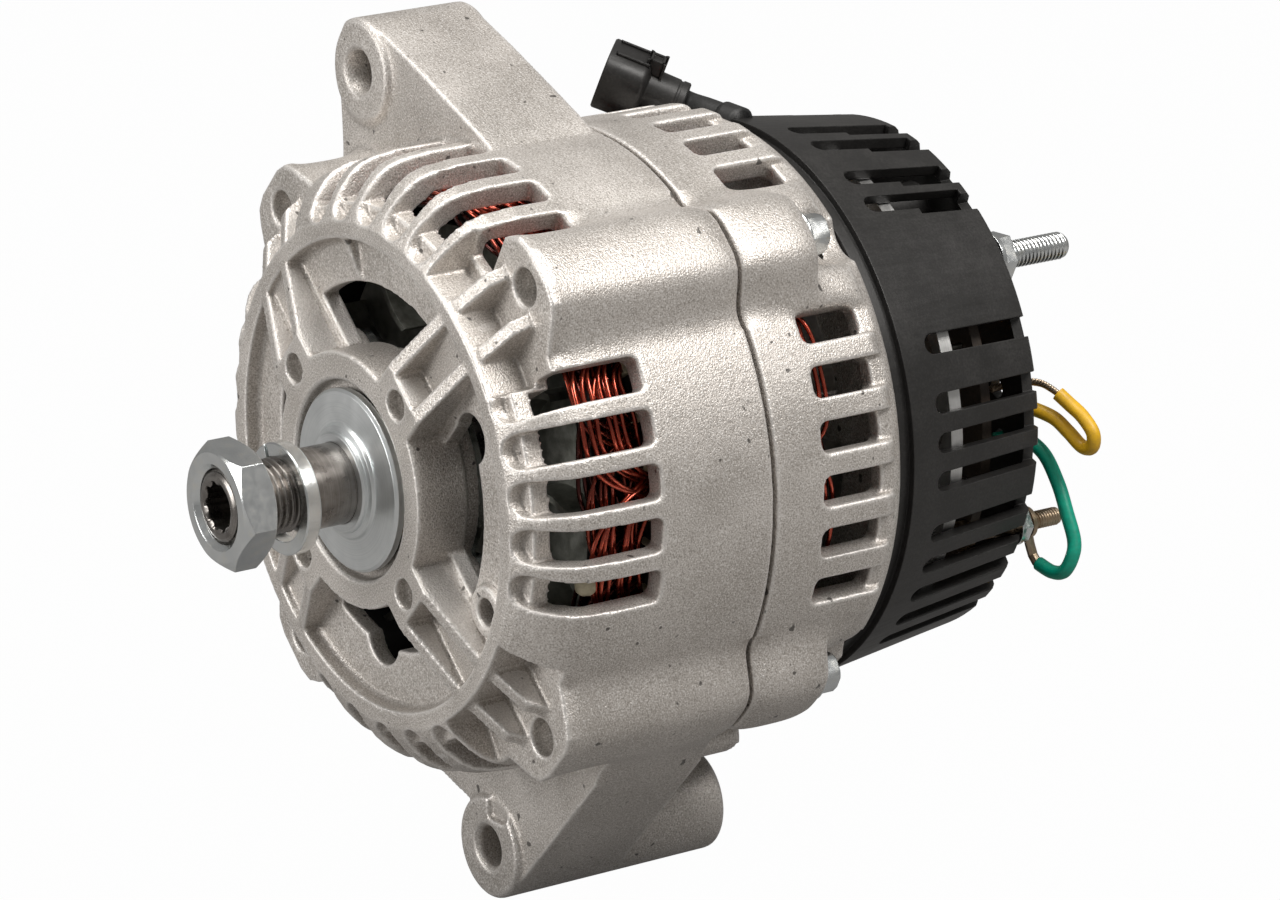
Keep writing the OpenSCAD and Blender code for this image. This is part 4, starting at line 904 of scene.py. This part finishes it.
@dataclass(frozen=True)
class RidgeEnd:
    """Where the corner ridges of the rear housing stop, with a round seat for each bolt head."""

    depth: float = 81.8
    back: float = 99.0
    clear_r: float = 66.5
    outside_r: float = 90.0
    bolt_r: float = 67.1
    seat_r: float = 6.4
    bolt_start: float = 19.0
    shank_r: float = 2.45
    flange_r: float = 5.5
    head_af: float = 8.0

    def collar(self) -> bpy.types.Object:
        """Makes the ring that trims the ridges.

        Returns:
            The cutting object.
        """
        bm = bmesh.new()
        corners = ((self.clear_r, self.depth), (self.outside_r, self.depth), (self.outside_r, self.back),
                   (self.clear_r, self.back))
        bridge(bm, [circle(bm, r, y, 180) for r, y in corners], closed=True)
        return self.tool("ridge_trim", bm)

    def seats(self) -> bpy.types.Object:
        """Makes the four plugs that sink the seats.

        Returns:
            The cutting object.
        """
        bm = bmesh.new()
        for corner in CORNERS:
            x, z = self.bolt_at(corner)
            low, high = (circle(bm, self.seat_r, y, 48, x, z) for y in (self.depth + 0.02, self.back + 1))
            bridge(bm, [low, high])
            bm.faces.new(low)
            bm.faces.new(high[::-1])
        return self.tool("seat_trim", bm)

    def bolt_at(self, corner: float) -> Tuple[float, float]:
        """Returns the place of the bolt at that angle, to the right and upwards."""
        return self.bolt_r * math.cos(math.radians(corner)), self.bolt_r * math.sin(math.radians(corner))

    def tool(self, name: str, bm: bmesh.types.BMesh) -> bpy.types.Object:
        """Turns a closed shape into an object used for cutting.

        Args:
            name: name of the object.
            bm: the shape, freed here.

        Returns:
            The cutting object.
        """
        made = bpy.data.objects.new(name, mesh_from(name, bm))
        bpy.context.scene.collection.objects.link(made)
        return made

    def bolts(self) -> None:
        """Makes the four housing bolts with flanged hexagon heads."""
        for number, corner in enumerate(CORNERS):
            rod = Rod(*self.bolt_at(corner), 60)
            hexagon = rod.hexagon(self.head_af)
            y0 = self.depth
            rod.rings([(self.bolt_start, NEARLY_NOTHING), (self.bolt_start, 2.2),
                       (self.bolt_start + 0.4, self.shank_r), (y0, self.shank_r),
                       (y0 + 0.02, self.flange_r - 0.2), (y0 + 0.5, self.flange_r),
                       (y0 + 0.9, self.flange_r - 0.1), (y0 + 1.4, 4.7),
                       (y0 + 1.5, np.minimum(hexagon, 4.7)), (y0 + 5.2, np.minimum(hexagon, 4.62)),
                       (y0 + 5.9, np.minimum(hexagon, 4.2)), (y0 + 6.1, 3.5), (y0 + 6.1, NEARLY_NOTHING)])
            name = "housing_bolt_%d" % (number + 1)
            new_piece(name, rod.mesh(name), "zinc_steel", "frame", ["through_bolts"] if number == 0 else [])


@dataclass
class Casting:
    """One cast housing with rounded edges and corners all over."""

    node: str
    cuts: Sequence[bpy.types.Object] = ()
    voxel_mm: float = 0.46
    rounds: int = 4
    ridge_rounds: int = 220
    ridge_half_deg: float = 15.2
    ridge_fade_deg: float = 1.6
    ridge_foot_r: float = 62.6
    ridge_foot_fade: float = 1.4
    ridge_front: float = 17.2
    ridge_front_fade: float = 2.0
    pull: float = 0.6

    def build(self) -> bpy.types.Object:
        """Makes the casting from its solid and softens every edge.

        Returns:
            The casting, standing for its solid.
        """
        source = node_object(self.node)
        rough = bpy.data.objects.new(self.node + "_rough", source.data.copy())
        bpy.context.scene.collection.objects.link(rough)
        weld = rough.modifiers.new("weld", "WELD")
        weld.merge_threshold = 1e-6
        for number, cut in enumerate(self.cuts):
            trim = rough.modifiers.new("trim_%d" % number, "BOOLEAN")
            trim.operation = "DIFFERENCE"
            trim.object = cut
            trim.solver = "EXACT"
        fuse = rough.modifiers.new("fuse", "REMESH")
        fuse.mode = "VOXEL"
        fuse.voxel_size = self.voxel_mm * MM
        soft = rough.modifiers.new("soft", "SMOOTH")
        soft.factor = 0.5
        soft.iterations = self.rounds
        ready = rough.evaluated_get(bpy.context.evaluated_depsgraph_get())
        mesh = bpy.data.meshes.new_from_object(ready)
        bpy.data.objects.remove(rough)
        for cut in self.cuts:
            bpy.data.objects.remove(cut)
        self.round_ridges(mesh)
        smooth(mesh)
        return new_piece(self.node + "_casting", mesh, "cast_alloy", "frame", [self.node])

    def round_ridges(self, mesh: bpy.types.Mesh) -> None:
        """Blends the long edges of the corner ridges into broad rounds, without moving their ends.

        Args:
            mesh: mesh of the casting, changed in place.
        """
        at = np.empty(len(mesh.vertices) * 3)
        mesh.vertices.foreach_get("co", at)
        at = at.reshape(-1, 3)
        edges = np.empty(len(mesh.edges) * 2, dtype=np.int64)
        mesh.edges.foreach_get("vertices", edges)
        edges = edges.reshape(-1, 2)
        turn = np.degrees(np.arctan2(at[:, 2], at[:, 0])) % 90 - 45
        radius = np.hypot(at[:, 0], at[:, 2]) / MM
        share = np.clip((self.ridge_half_deg - np.abs(turn)) / self.ridge_fade_deg, 0, 1)
        share = share * np.clip((radius - self.ridge_foot_r) / self.ridge_foot_fade, 0, 1)
        share *= np.clip((at[:, 1] / MM - self.ridge_front) / self.ridge_front_fade, 0, 1)
        near = share > 0
        touched = near[edges[:, 0]] | near[edges[:, 1]]
        pairs = edges[touched]
        ends = np.concatenate([pairs[:, 0], pairs[:, 1]])
        others = np.concatenate([pairs[:, 1], pairs[:, 0]])
        keep, slot = np.unique(ends, return_inverse=True)
        where = np.full(len(at), -1)
        where[keep] = np.arange(len(keep))
        degree = np.bincount(slot, minlength=len(keep))
        move = share[keep]
        flat = at[keep][:, (0, 2)]
        other = where[others]
        for _ in range(self.ridge_rounds):
            for k in range(2):
                mean = np.bincount(slot, weights=flat[other, k], minlength=len(keep)) / degree
                flat[:, k] += self.pull * move * (mean - flat[:, k])
        at[keep, 0], at[keep, 2] = flat[:, 0], flat[:, 1]
        mesh.vertices.foreach_set("co", at.ravel())
        mesh.update()


class End(Enum):
    """The two ends of the stator."""

    DRIVE = -1
    REAR = 1


@dataclass
class Winding:
    """End turns of the stator winding, wire by wire, on both sides of the core."""

    core_front: float = 37.0
    core_back: float = 71.0
    outer_r: float = 60.1
    layer_step: float = 1.75
    layers: int = 3
    groups: int = 12
    strands: int = 8
    wire_r: float = 0.5
    front_crest: Tuple[float, float] = (21.4, 33.4)
    rear_crest: Tuple[float, float] = (81.0, 73.5)
    phase: float = 20.0
    half_span: Tuple[float, float] = (18.0, 12.0)
    packing_inner_r: float = 54.0
    packing_gap: float = 2.4
    joint_at: Point = (-14.0, 21.0, 58.6)
    joint_half: Point = (1.5, 2.1, 1.7)
    joint_lumps: int = 14
    seed: int = 11

    def strand(self, centre: float, half_span: float, crest: float, root: float, radius: float,
               rng: random.Random) -> np.ndarray:
        """Lays out one wire that leaves one slot and dives into another.

        Args:
            centre: middle of its arc in degrees.
            half_span: half of its arc in degrees.
            crest: depth at its top.
            root: depth where it enters the core.
            radius: distance from the shaft line.
            rng: source of its small errors.

        Returns:
            The path in metres.
        """
        points = []
        power = rng.uniform(2.6, 5.0)
        sway = rng.uniform(-0.7, 0.7)
        turn = rng.uniform(0, 2 * math.pi)
        for i in range(26):
            t = -1 + 2 * i / 25
            a = math.radians(centre + half_span * t)
            lift = 1 - abs(t) ** power
            y = root + (crest - root) * lift + sway * math.sin(3.1 * t + turn)
            inward = 1.3 * (1 - lift)
            r = radius - inward + 0.25 * math.sin(5.3 * t + turn)
            points.append((r * math.cos(a), y, r * math.sin(a)))
        return np.array(points) * MM

    def head(self, end: End, rng: random.Random) -> TubeSet:
        """Makes the end turns of one side.

        Args:
            end: side of the core they stand on.
            rng: source of their small errors.

        Returns:
            The wires.
        """
        root = self.core_front + 1 if end is End.DRIVE else self.core_back - 1
        far, near = self.front_crest if end is End.DRIVE else self.rear_crest
        wide, narrow = self.half_span
        tubes = TubeSet(7)
        for layer in range(self.layers):
            radius = self.outer_r - self.wire_r - layer * self.layer_step
            for g in range(self.groups):
                centre = self.phase + 360 / self.groups * (g + layer / self.layers)
                for s in range(self.strands):
                    share = s / (self.strands - 1)
                    crest = far + (near - far) * share + rng.uniform(-0.7, 0.7)
                    span = wide + (narrow - wide) * share + rng.uniform(-1.2, 1.2)
                    r = radius + rng.uniform(-0.9, 0.2)
                    tubes.add(self.strand(centre + rng.uniform(-0.9, 0.9), span, crest, root, r, rng),
                              self.wire_r * MM)
        return tubes

    def packing(self) -> bpy.types.Mesh:
        """Makes the rings that stand for the wire behind the outer strands, near-black as painted shade.

        Returns:
            The mesh of both rings.
        """
        bm = bmesh.new()
        inner = self.packing_inner_r
        outer = self.outer_r - self.layers * self.layer_step - 0.4
        for y0, y1 in ((self.front_crest[0] + self.packing_gap, self.core_front),
                       (self.core_back, self.rear_crest[0] - self.packing_gap)):
            corners = ((inner, y0), (outer, y0), (outer, y1), (inner, y1))
            bridge(bm, [circle(bm, r, y, 144) for r, y in corners], closed=True)
        return mesh_from("winding_painted_shade", bm)

    def build(self) -> None:
        """Makes both heads and the near-black rings of painted shade, in place of the plain winding."""
        rng = random.Random(self.seed)
        front = self.head(End.DRIVE, rng).mesh("end_turns_front")
        rear = self.head(End.REAR, rng).mesh("end_turns_rear")
        new_piece("end_turns_front", front, "copper_wire", "frame", ["stator_windings"])
        new_piece("end_turns_rear", rear, "copper_wire", "frame")
        # Near-black rings behind the strands: painted shade, in the carbon finish.
        new_piece("winding_painted_shade", self.packing(), "carbon", "frame")
        self.joint(rng)

    def joint(self, rng: random.Random) -> None:
        """Makes a varnished joint of two wires.

        Args:
            rng: source of its lumps.
        """
        angle, depth, radius = self.joint_at
        bm = bmesh.new()
        bmesh.ops.create_icosphere(bm, subdivisions=4, radius=1.0)
        a = math.radians(angle)
        centre = Vector((radius * math.cos(a), depth, radius * math.sin(a)))
        lumps = [(Vector((rng.uniform(-1, 1), rng.uniform(-1, 1), rng.uniform(-1, 1))).normalized(),
                  rng.uniform(0.1, 0.3)) for _ in range(self.joint_lumps)]
        for vert in bm.verts:
            ray = vert.co.normalized()
            bulge = 1 + sum(h * max(0.0, ray.dot(d) - 0.7) / 0.3 for d, h in lumps)
            vert.co = (centre + Vector([a * b for a, b in zip(ray, self.joint_half)]) * bulge) * MM
        mesh = mesh_from("varnished_joint", bm)
        smooth(mesh)
        new_piece("varnished_joint", mesh, "insulation_paper", "frame")


@dataclass(frozen=True)
class Connector:
    """The plug of the lead: a round barrel, a squarish socket with a seam, and a latch on top."""

    at: Point = (-18.6, 100.0, 62.7)
    way: Point = (-0.595, -0.706, 0.383)
    top: Point = (0.25, -0.10, 0.96)
    barrel_r: float = 4.7
    barrel_len: float = 9.2
    socket_len: float = 9.6
    socket_half: Tuple[float, float] = (7.2, 6.9)
    square: float = 3.2
    wall: float = 1.3
    sides: int = 72

    def axes(self) -> Tuple[Vector, Vector, Vector]:
        """Works out the directions of the plug.

        Returns:
            The directions along, across and up.
        """
        along = Vector(self.way).normalized()
        up = Vector(self.top)
        up = (up - along * up.dot(along)).normalized()
        return along, up.cross(along), up

    def ring(self, bm: bmesh.types.BMesh, depth: float, half: Tuple[float, float],
             power: float) -> List[bmesh.types.BMVert]:
        """Adds one closed ring.

        Args:
            bm: shape it goes into.
            depth: distance from the end of the barrel.
            half: half width and half height.
            power: 2 for round, more for squarer.

        Returns:
            The points of the ring.
        """
        along, across, up = self.axes()
        out = []
        for t in np.linspace(0, 2 * math.pi, self.sides, endpoint=False):
            c, d = math.cos(t), math.sin(t)
            x = math.copysign(abs(c) ** (2 / power), c) * half[0]
            z = math.copysign(abs(d) ** (2 / power), d) * half[1]
            point = Vector(self.at) + along * depth + across * x + up * z
            out.append(bm.verts.new(point * MM))
        return out

    def shell(self, bm: bmesh.types.BMesh) -> None:
        """Lofts the barrel, the step and the hollow socket.

        Args:
            bm: shape it goes into.
        """
        r, a, b = self.barrel_r, *self.socket_half
        step, end = self.barrel_len, self.barrel_len + self.socket_len
        barrel = [(5, 3.3), (0, 3.5), (0, r - 0.3), (0.3, r), (1.6, r), (1.8, r - 0.25), (2.2, r - 0.25),
                  (2.4, r), (step - 0.5, r + 0.2)]
        socket = [(step + 0.1, -0.9), (step + 0.5, -0.3), (step + 1.2, 0), (end - 0.4, 0.15), (end, -0.1),
                  (end, -self.wall), (step + 2, -self.wall - 0.2)]
        rows = [(y, (radius, radius), 2) for y, radius in barrel] + [(step, (r + 0.9, r + 0.9), 2.2)]
        rows += [(y, (a + more, b + more), self.square) for y, more in socket]
        rows.append((step + 2, (0.05, 0.05), 2))
        rings = [self.ring(bm, *row) for row in rows]
        bridge(bm, rings)
        bm.faces.new(rings[0][::-1])
        bm.faces.new(rings[-1])

    def block(self, bm: bmesh.types.BMesh, centre: Point, size: Point, chamfer: float) -> None:
        """Adds a small chamfered block.

        Args:
            bm: shape it goes into.
            centre: its middle, along, across and up.
            size: its size in the same directions.
            chamfer: width of its chamfers.
        """
        along, across, up = self.axes()
        made = bmesh.ops.create_cube(bm, size=1.0)["verts"]
        for vert in made:
            point = [centre[k] + size[k] * vert.co[k] for k in range(3)]
            vert.co = (Vector(self.at) + along * point[0] + across * point[1] + up * point[2]) * MM
        edges = list({e for v in made for e in v.link_edges})
        bmesh.ops.bevel(bm, geom=edges, offset=chamfer * MM, segments=2, affect="EDGES")

    def build(self) -> None:
        """Makes the plug in place of its plain solid."""
        bm = bmesh.new()
        self.shell(bm)
        step, high = self.barrel_len, self.socket_half[1]
        self.block(bm, (step - 0.6, 0, high - 1.0), (3.2, 3.6, 3.8), 0.5)
        for side in (2.9, -2.9):
            self.block(bm, (step + 4.4, side, high + 0.05), (7.6, 0.5, 0.7), 0.12)
        mesh = mesh_from("connector", bm)
        smooth(mesh)
        mesh.set_sharp_from_angle(angle=math.radians(35))
        new_piece("connector", mesh, "black_plastic", "frame", ["plug", "plug_seal"])


@dataclass
class Leads:
    """The black lead and the two thin wires, each whole from end to end."""

    plug: Connector = Connector()
    lead_in: Point = (-2.5, 103.6, 60.1)
    lead_r: float = 3.2
    sleeve_r: float = 3.8
    wire_r: float = 1.55
    yellow: Tuple[Point, ...] = (
        (54.2, 144.7, 4.5), (56.6, 145.9, 2.4), (60.0, 146.7, 0.2), (62.9, 147.2, -3.0),
        (62.2, 147.4, -6.2), (59.2, 147.1, -6.6), (55.8, 146.0, -3.8), (52.2, 144.3, -0.9),
        (46.4, 140.4, 1.0), (46.0, 134.0, 1.0))
    green: Tuple[Point, ...] = (
        (45.6, 134, -5.6), (46, 140.6, -6), (49, 144.4, -9.6), (52, 146, -16), (55, 146, -22),
        (57.4, 146, -27.6), (58, 145, -31), (56.4, 144, -34.4), (53, 143.4, -35.2), (48.8, 143, -34.2))

    def lead_path(self) -> List[Point]:
        """Lays out the black lead from the cover into the plug.

        Returns:
            Its points in millimetres.
        """
        start, plug = Vector(self.lead_in), Vector(self.plug.at)
        along = self.plug.axes()[0]
        bend = plug - 1.2 * along + Vector((0.9, -0.2, -0.1))
        points = [start, start.lerp(plug, 0.3), start.lerp(plug, 0.6), bend, plug + 1.5 * along,
                  plug + 5 * along]
        return [tuple(p) for p in points]

    def tube(self, name: str, path: np.ndarray, radius: float, sides: int, slot: str, node: str) -> None:
        """Makes one round tube.

        Args:
            name: name of the piece.
            path: its points in metres.
            radius: its radius in millimetres.
            sides: number of its sides.
            slot: material slot of its finish.
            node: solid that it stands for.
        """
        tubes = TubeSet(sides)
        tubes.add(path, radius * MM)
        new_piece(name, tubes.mesh(name), slot, "frame", [node])

    def build(self) -> None:
        """Makes the lead, its sleeve and the two wires."""
        path = self.lead_path()
        self.tube("lead_skin", smooth_path(path, 8), self.lead_r, 20, "black_rubber", "lead")
        self.tube("lead_sleeve", smooth_path(path[:2], 4), self.sleeve_r, 24, "black_rubber",
                  "lead_grommet")
        for name, points in (("yellow", self.yellow), ("green", self.green)):
            self.tube(name + "_wire_skin", smooth_path(points, 10), self.wire_r, 16,
                      name + "_insulation", name + "_wire")


class Dresser:
    """Gives every solid that still shows its finish."""

    def dress_all(self) -> None:
        """Dresses the solids by the record's material slots."""
        for part in frame["record"]["subparts"]:
            solid = node_object(part["node"])
            if solid.hide_render:
                continue
            finish = FINISHES[part["material_slot"]]
            if part["node"] == "thrust_disc":
                finish = TurnedDisc()
            finish.dress(solid)
            log.info("%s wears %s", part["node"], part["material_slot"])


@dataclass(frozen=True)
class Lamp:
    """One square soft lamp, with places in metres and power in watts."""

    name: str
    place: Point
    aim: Point
    size: float
    power: float
    tint: Colour

    def hang(self) -> None:
        """Hangs the lamp and turns it to its aim."""
        data = bpy.data.lights.new(self.name, "AREA")
        data.shape = "SQUARE"
        data.size = self.size
        data.energy = self.power
        data.color = self.tint
        lamp = bpy.data.objects.new(self.name, data)
        bpy.context.scene.collection.objects.link(lamp)
        lamp.location = self.place
        towards = Vector(self.aim) - Vector(self.place)
        lamp.rotation_euler = towards.to_track_quat("-Z", "Y").to_euler()


@dataclass
class Studio:
    """White floor and backdrop, soft lamps, and the camera of the photograph."""

    azimuth: float = 56.28
    elevation: float = 15.10
    roll: float = -1.87
    distance: float = 1236.75
    focal_px: float = 5947.5
    width_px: int = 1280
    sensor_width: float = 36.0
    shift_right: float = 60.68
    shift_up: float = 6.35
    floor_half: float = 6.0
    floor_gap: float = 0.0002
    floor_matt: Colour = (0.2, 0.195, 0.19)
    floor_glow: float = 0.985
    mirrored_glow: float = 0.1
    sky: Colour = (1.0, 0.98, 0.95)
    sky_strength: float = 0.23
    lamps: Tuple[Lamp, ...] = (
        Lamp("key_right", (0.8, 0.35, 0.92), (0, 0.05, 0), 0.5, 11.8, (1.0, 0.975, 0.945)),
        Lamp("top_soft", (0.0, -0.15, 1.15), (0, 0.05, 0), 0.7, 9.5, (1.0, 0.98, 0.95)),
        Lamp("front_soft", (-0.3, -1.2, 0.3), (0, 0.03, 0), 0.6, 8.5, (1.0, 0.985, 0.965)))

    def camera(self) -> None:
        """Places the camera that the circles and holes of the part gave."""
        a, e, r = (math.radians(v) for v in (self.azimuth, self.elevation, self.roll))
        back = Vector((math.sin(a) * math.cos(e), -math.cos(a) * math.cos(e), math.sin(e)))
        right = Vector((math.cos(a), math.sin(a), 0))
        up = back.cross(right)
        turned_right = math.cos(r) * right + math.sin(r) * up
        turned_up = -math.sin(r) * right + math.cos(r) * up
        data = bpy.data.cameras.new("camera")
        data.sensor_fit = "HORIZONTAL"
        data.sensor_width = self.sensor_width
        data.lens = self.focal_px * self.sensor_width / self.width_px
        data.clip_start = 0.05
        data.clip_end = 20
        camera = bpy.data.objects.new("camera", data)
        bpy.context.scene.collection.objects.link(camera)
        place = (turned_right * self.shift_right + turned_up * self.shift_up + back * self.distance) * MM
        basis = Matrix((turned_right, turned_up, back)).transposed()
        camera.matrix_world = Matrix.Translation(place) @ basis.to_4x4()
        bpy.context.scene.camera = camera

    def floor(self, height: float) -> None:
        """Makes the white floor that keeps the part's shadow.

        Args:
            height: its height in metres.
        """
        mesh = bpy.data.meshes.new("floor")
        s = self.floor_half
        mesh.from_pydata([(-s, -s, height), (s, -s, height), (s, s, height), (-s, s, height)], [],
                         [(0, 1, 2, 3)])
        floor = bpy.data.objects.new("floor", mesh)
        bpy.context.scene.collection.objects.link(floor)
        b = Bench("floor_white")
        matt = b.node("ShaderNodeBsdfDiffuse", None, {"Color": self.floor_matt})
        glow = b.node("ShaderNodeEmission", None, {"Color": (1.0, 1.0, 1.0), "Strength": 1.0})
        seen = b.node("ShaderNodeLightPath", output="Is Camera Ray")
        mirrored = b.node("ShaderNodeLightPath", output="Is Glossy Ray")
        share = b.maths("MAXIMUM", seen * self.floor_glow, mirrored * self.mirrored_glow)
        b.close(b.node("ShaderNodeMixShader", None, {0: share, 1: matt, 2: glow}))
        floor.data.materials.append(b.material)
        floor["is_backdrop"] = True

    def world(self) -> None:
        """Sets even light all round and white behind the part."""
        world = bpy.data.worlds.new("studio")
        bpy.context.scene.world = world
        b = Bench("studio", world)
        seen = b.maths("MAXIMUM", b.node("ShaderNodeLightPath", output="Is Camera Ray"),
                       b.node("ShaderNodeLightPath", output="Is Transmission Ray"))
        dim = b.node("ShaderNodeBackground", None, {"Color": self.sky, "Strength": self.sky_strength})
        white = b.node("ShaderNodeBackground", None, {"Color": (1.0, 1.0, 1.0), "Strength": 1.0})
        b.close(b.node("ShaderNodeMixShader", None, {0: seen, 1: dim, 2: white}), "ShaderNodeOutputWorld")

    def build(self) -> None:
        """Sets up the whole studio."""
        self.camera()
        self.floor(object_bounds()[0][2] - self.floor_gap)
        self.world()
        for lamp in self.lamps:
            lamp.hang()
        bpy.context.scene.view_settings.view_transform = "Standard"


def main() -> None:
    """Builds and dresses the part, then the studio."""
    logging.basicConfig(level=logging.INFO, format="%(name)s: %(message)s")
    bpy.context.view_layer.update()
    ends = RidgeEnd()
    Casting("front_housing").build()
    Casting("rear_housing", (ends.collar(), ends.seats())).build()
    ends.bolts()
    Winding().build()
    DriveEnd().build()
    Terminals().build()
    Connector().build()
    Leads().build()
    Dresser().dress_all()
    Studio().build()


if __name__ == "__main__":
    main()
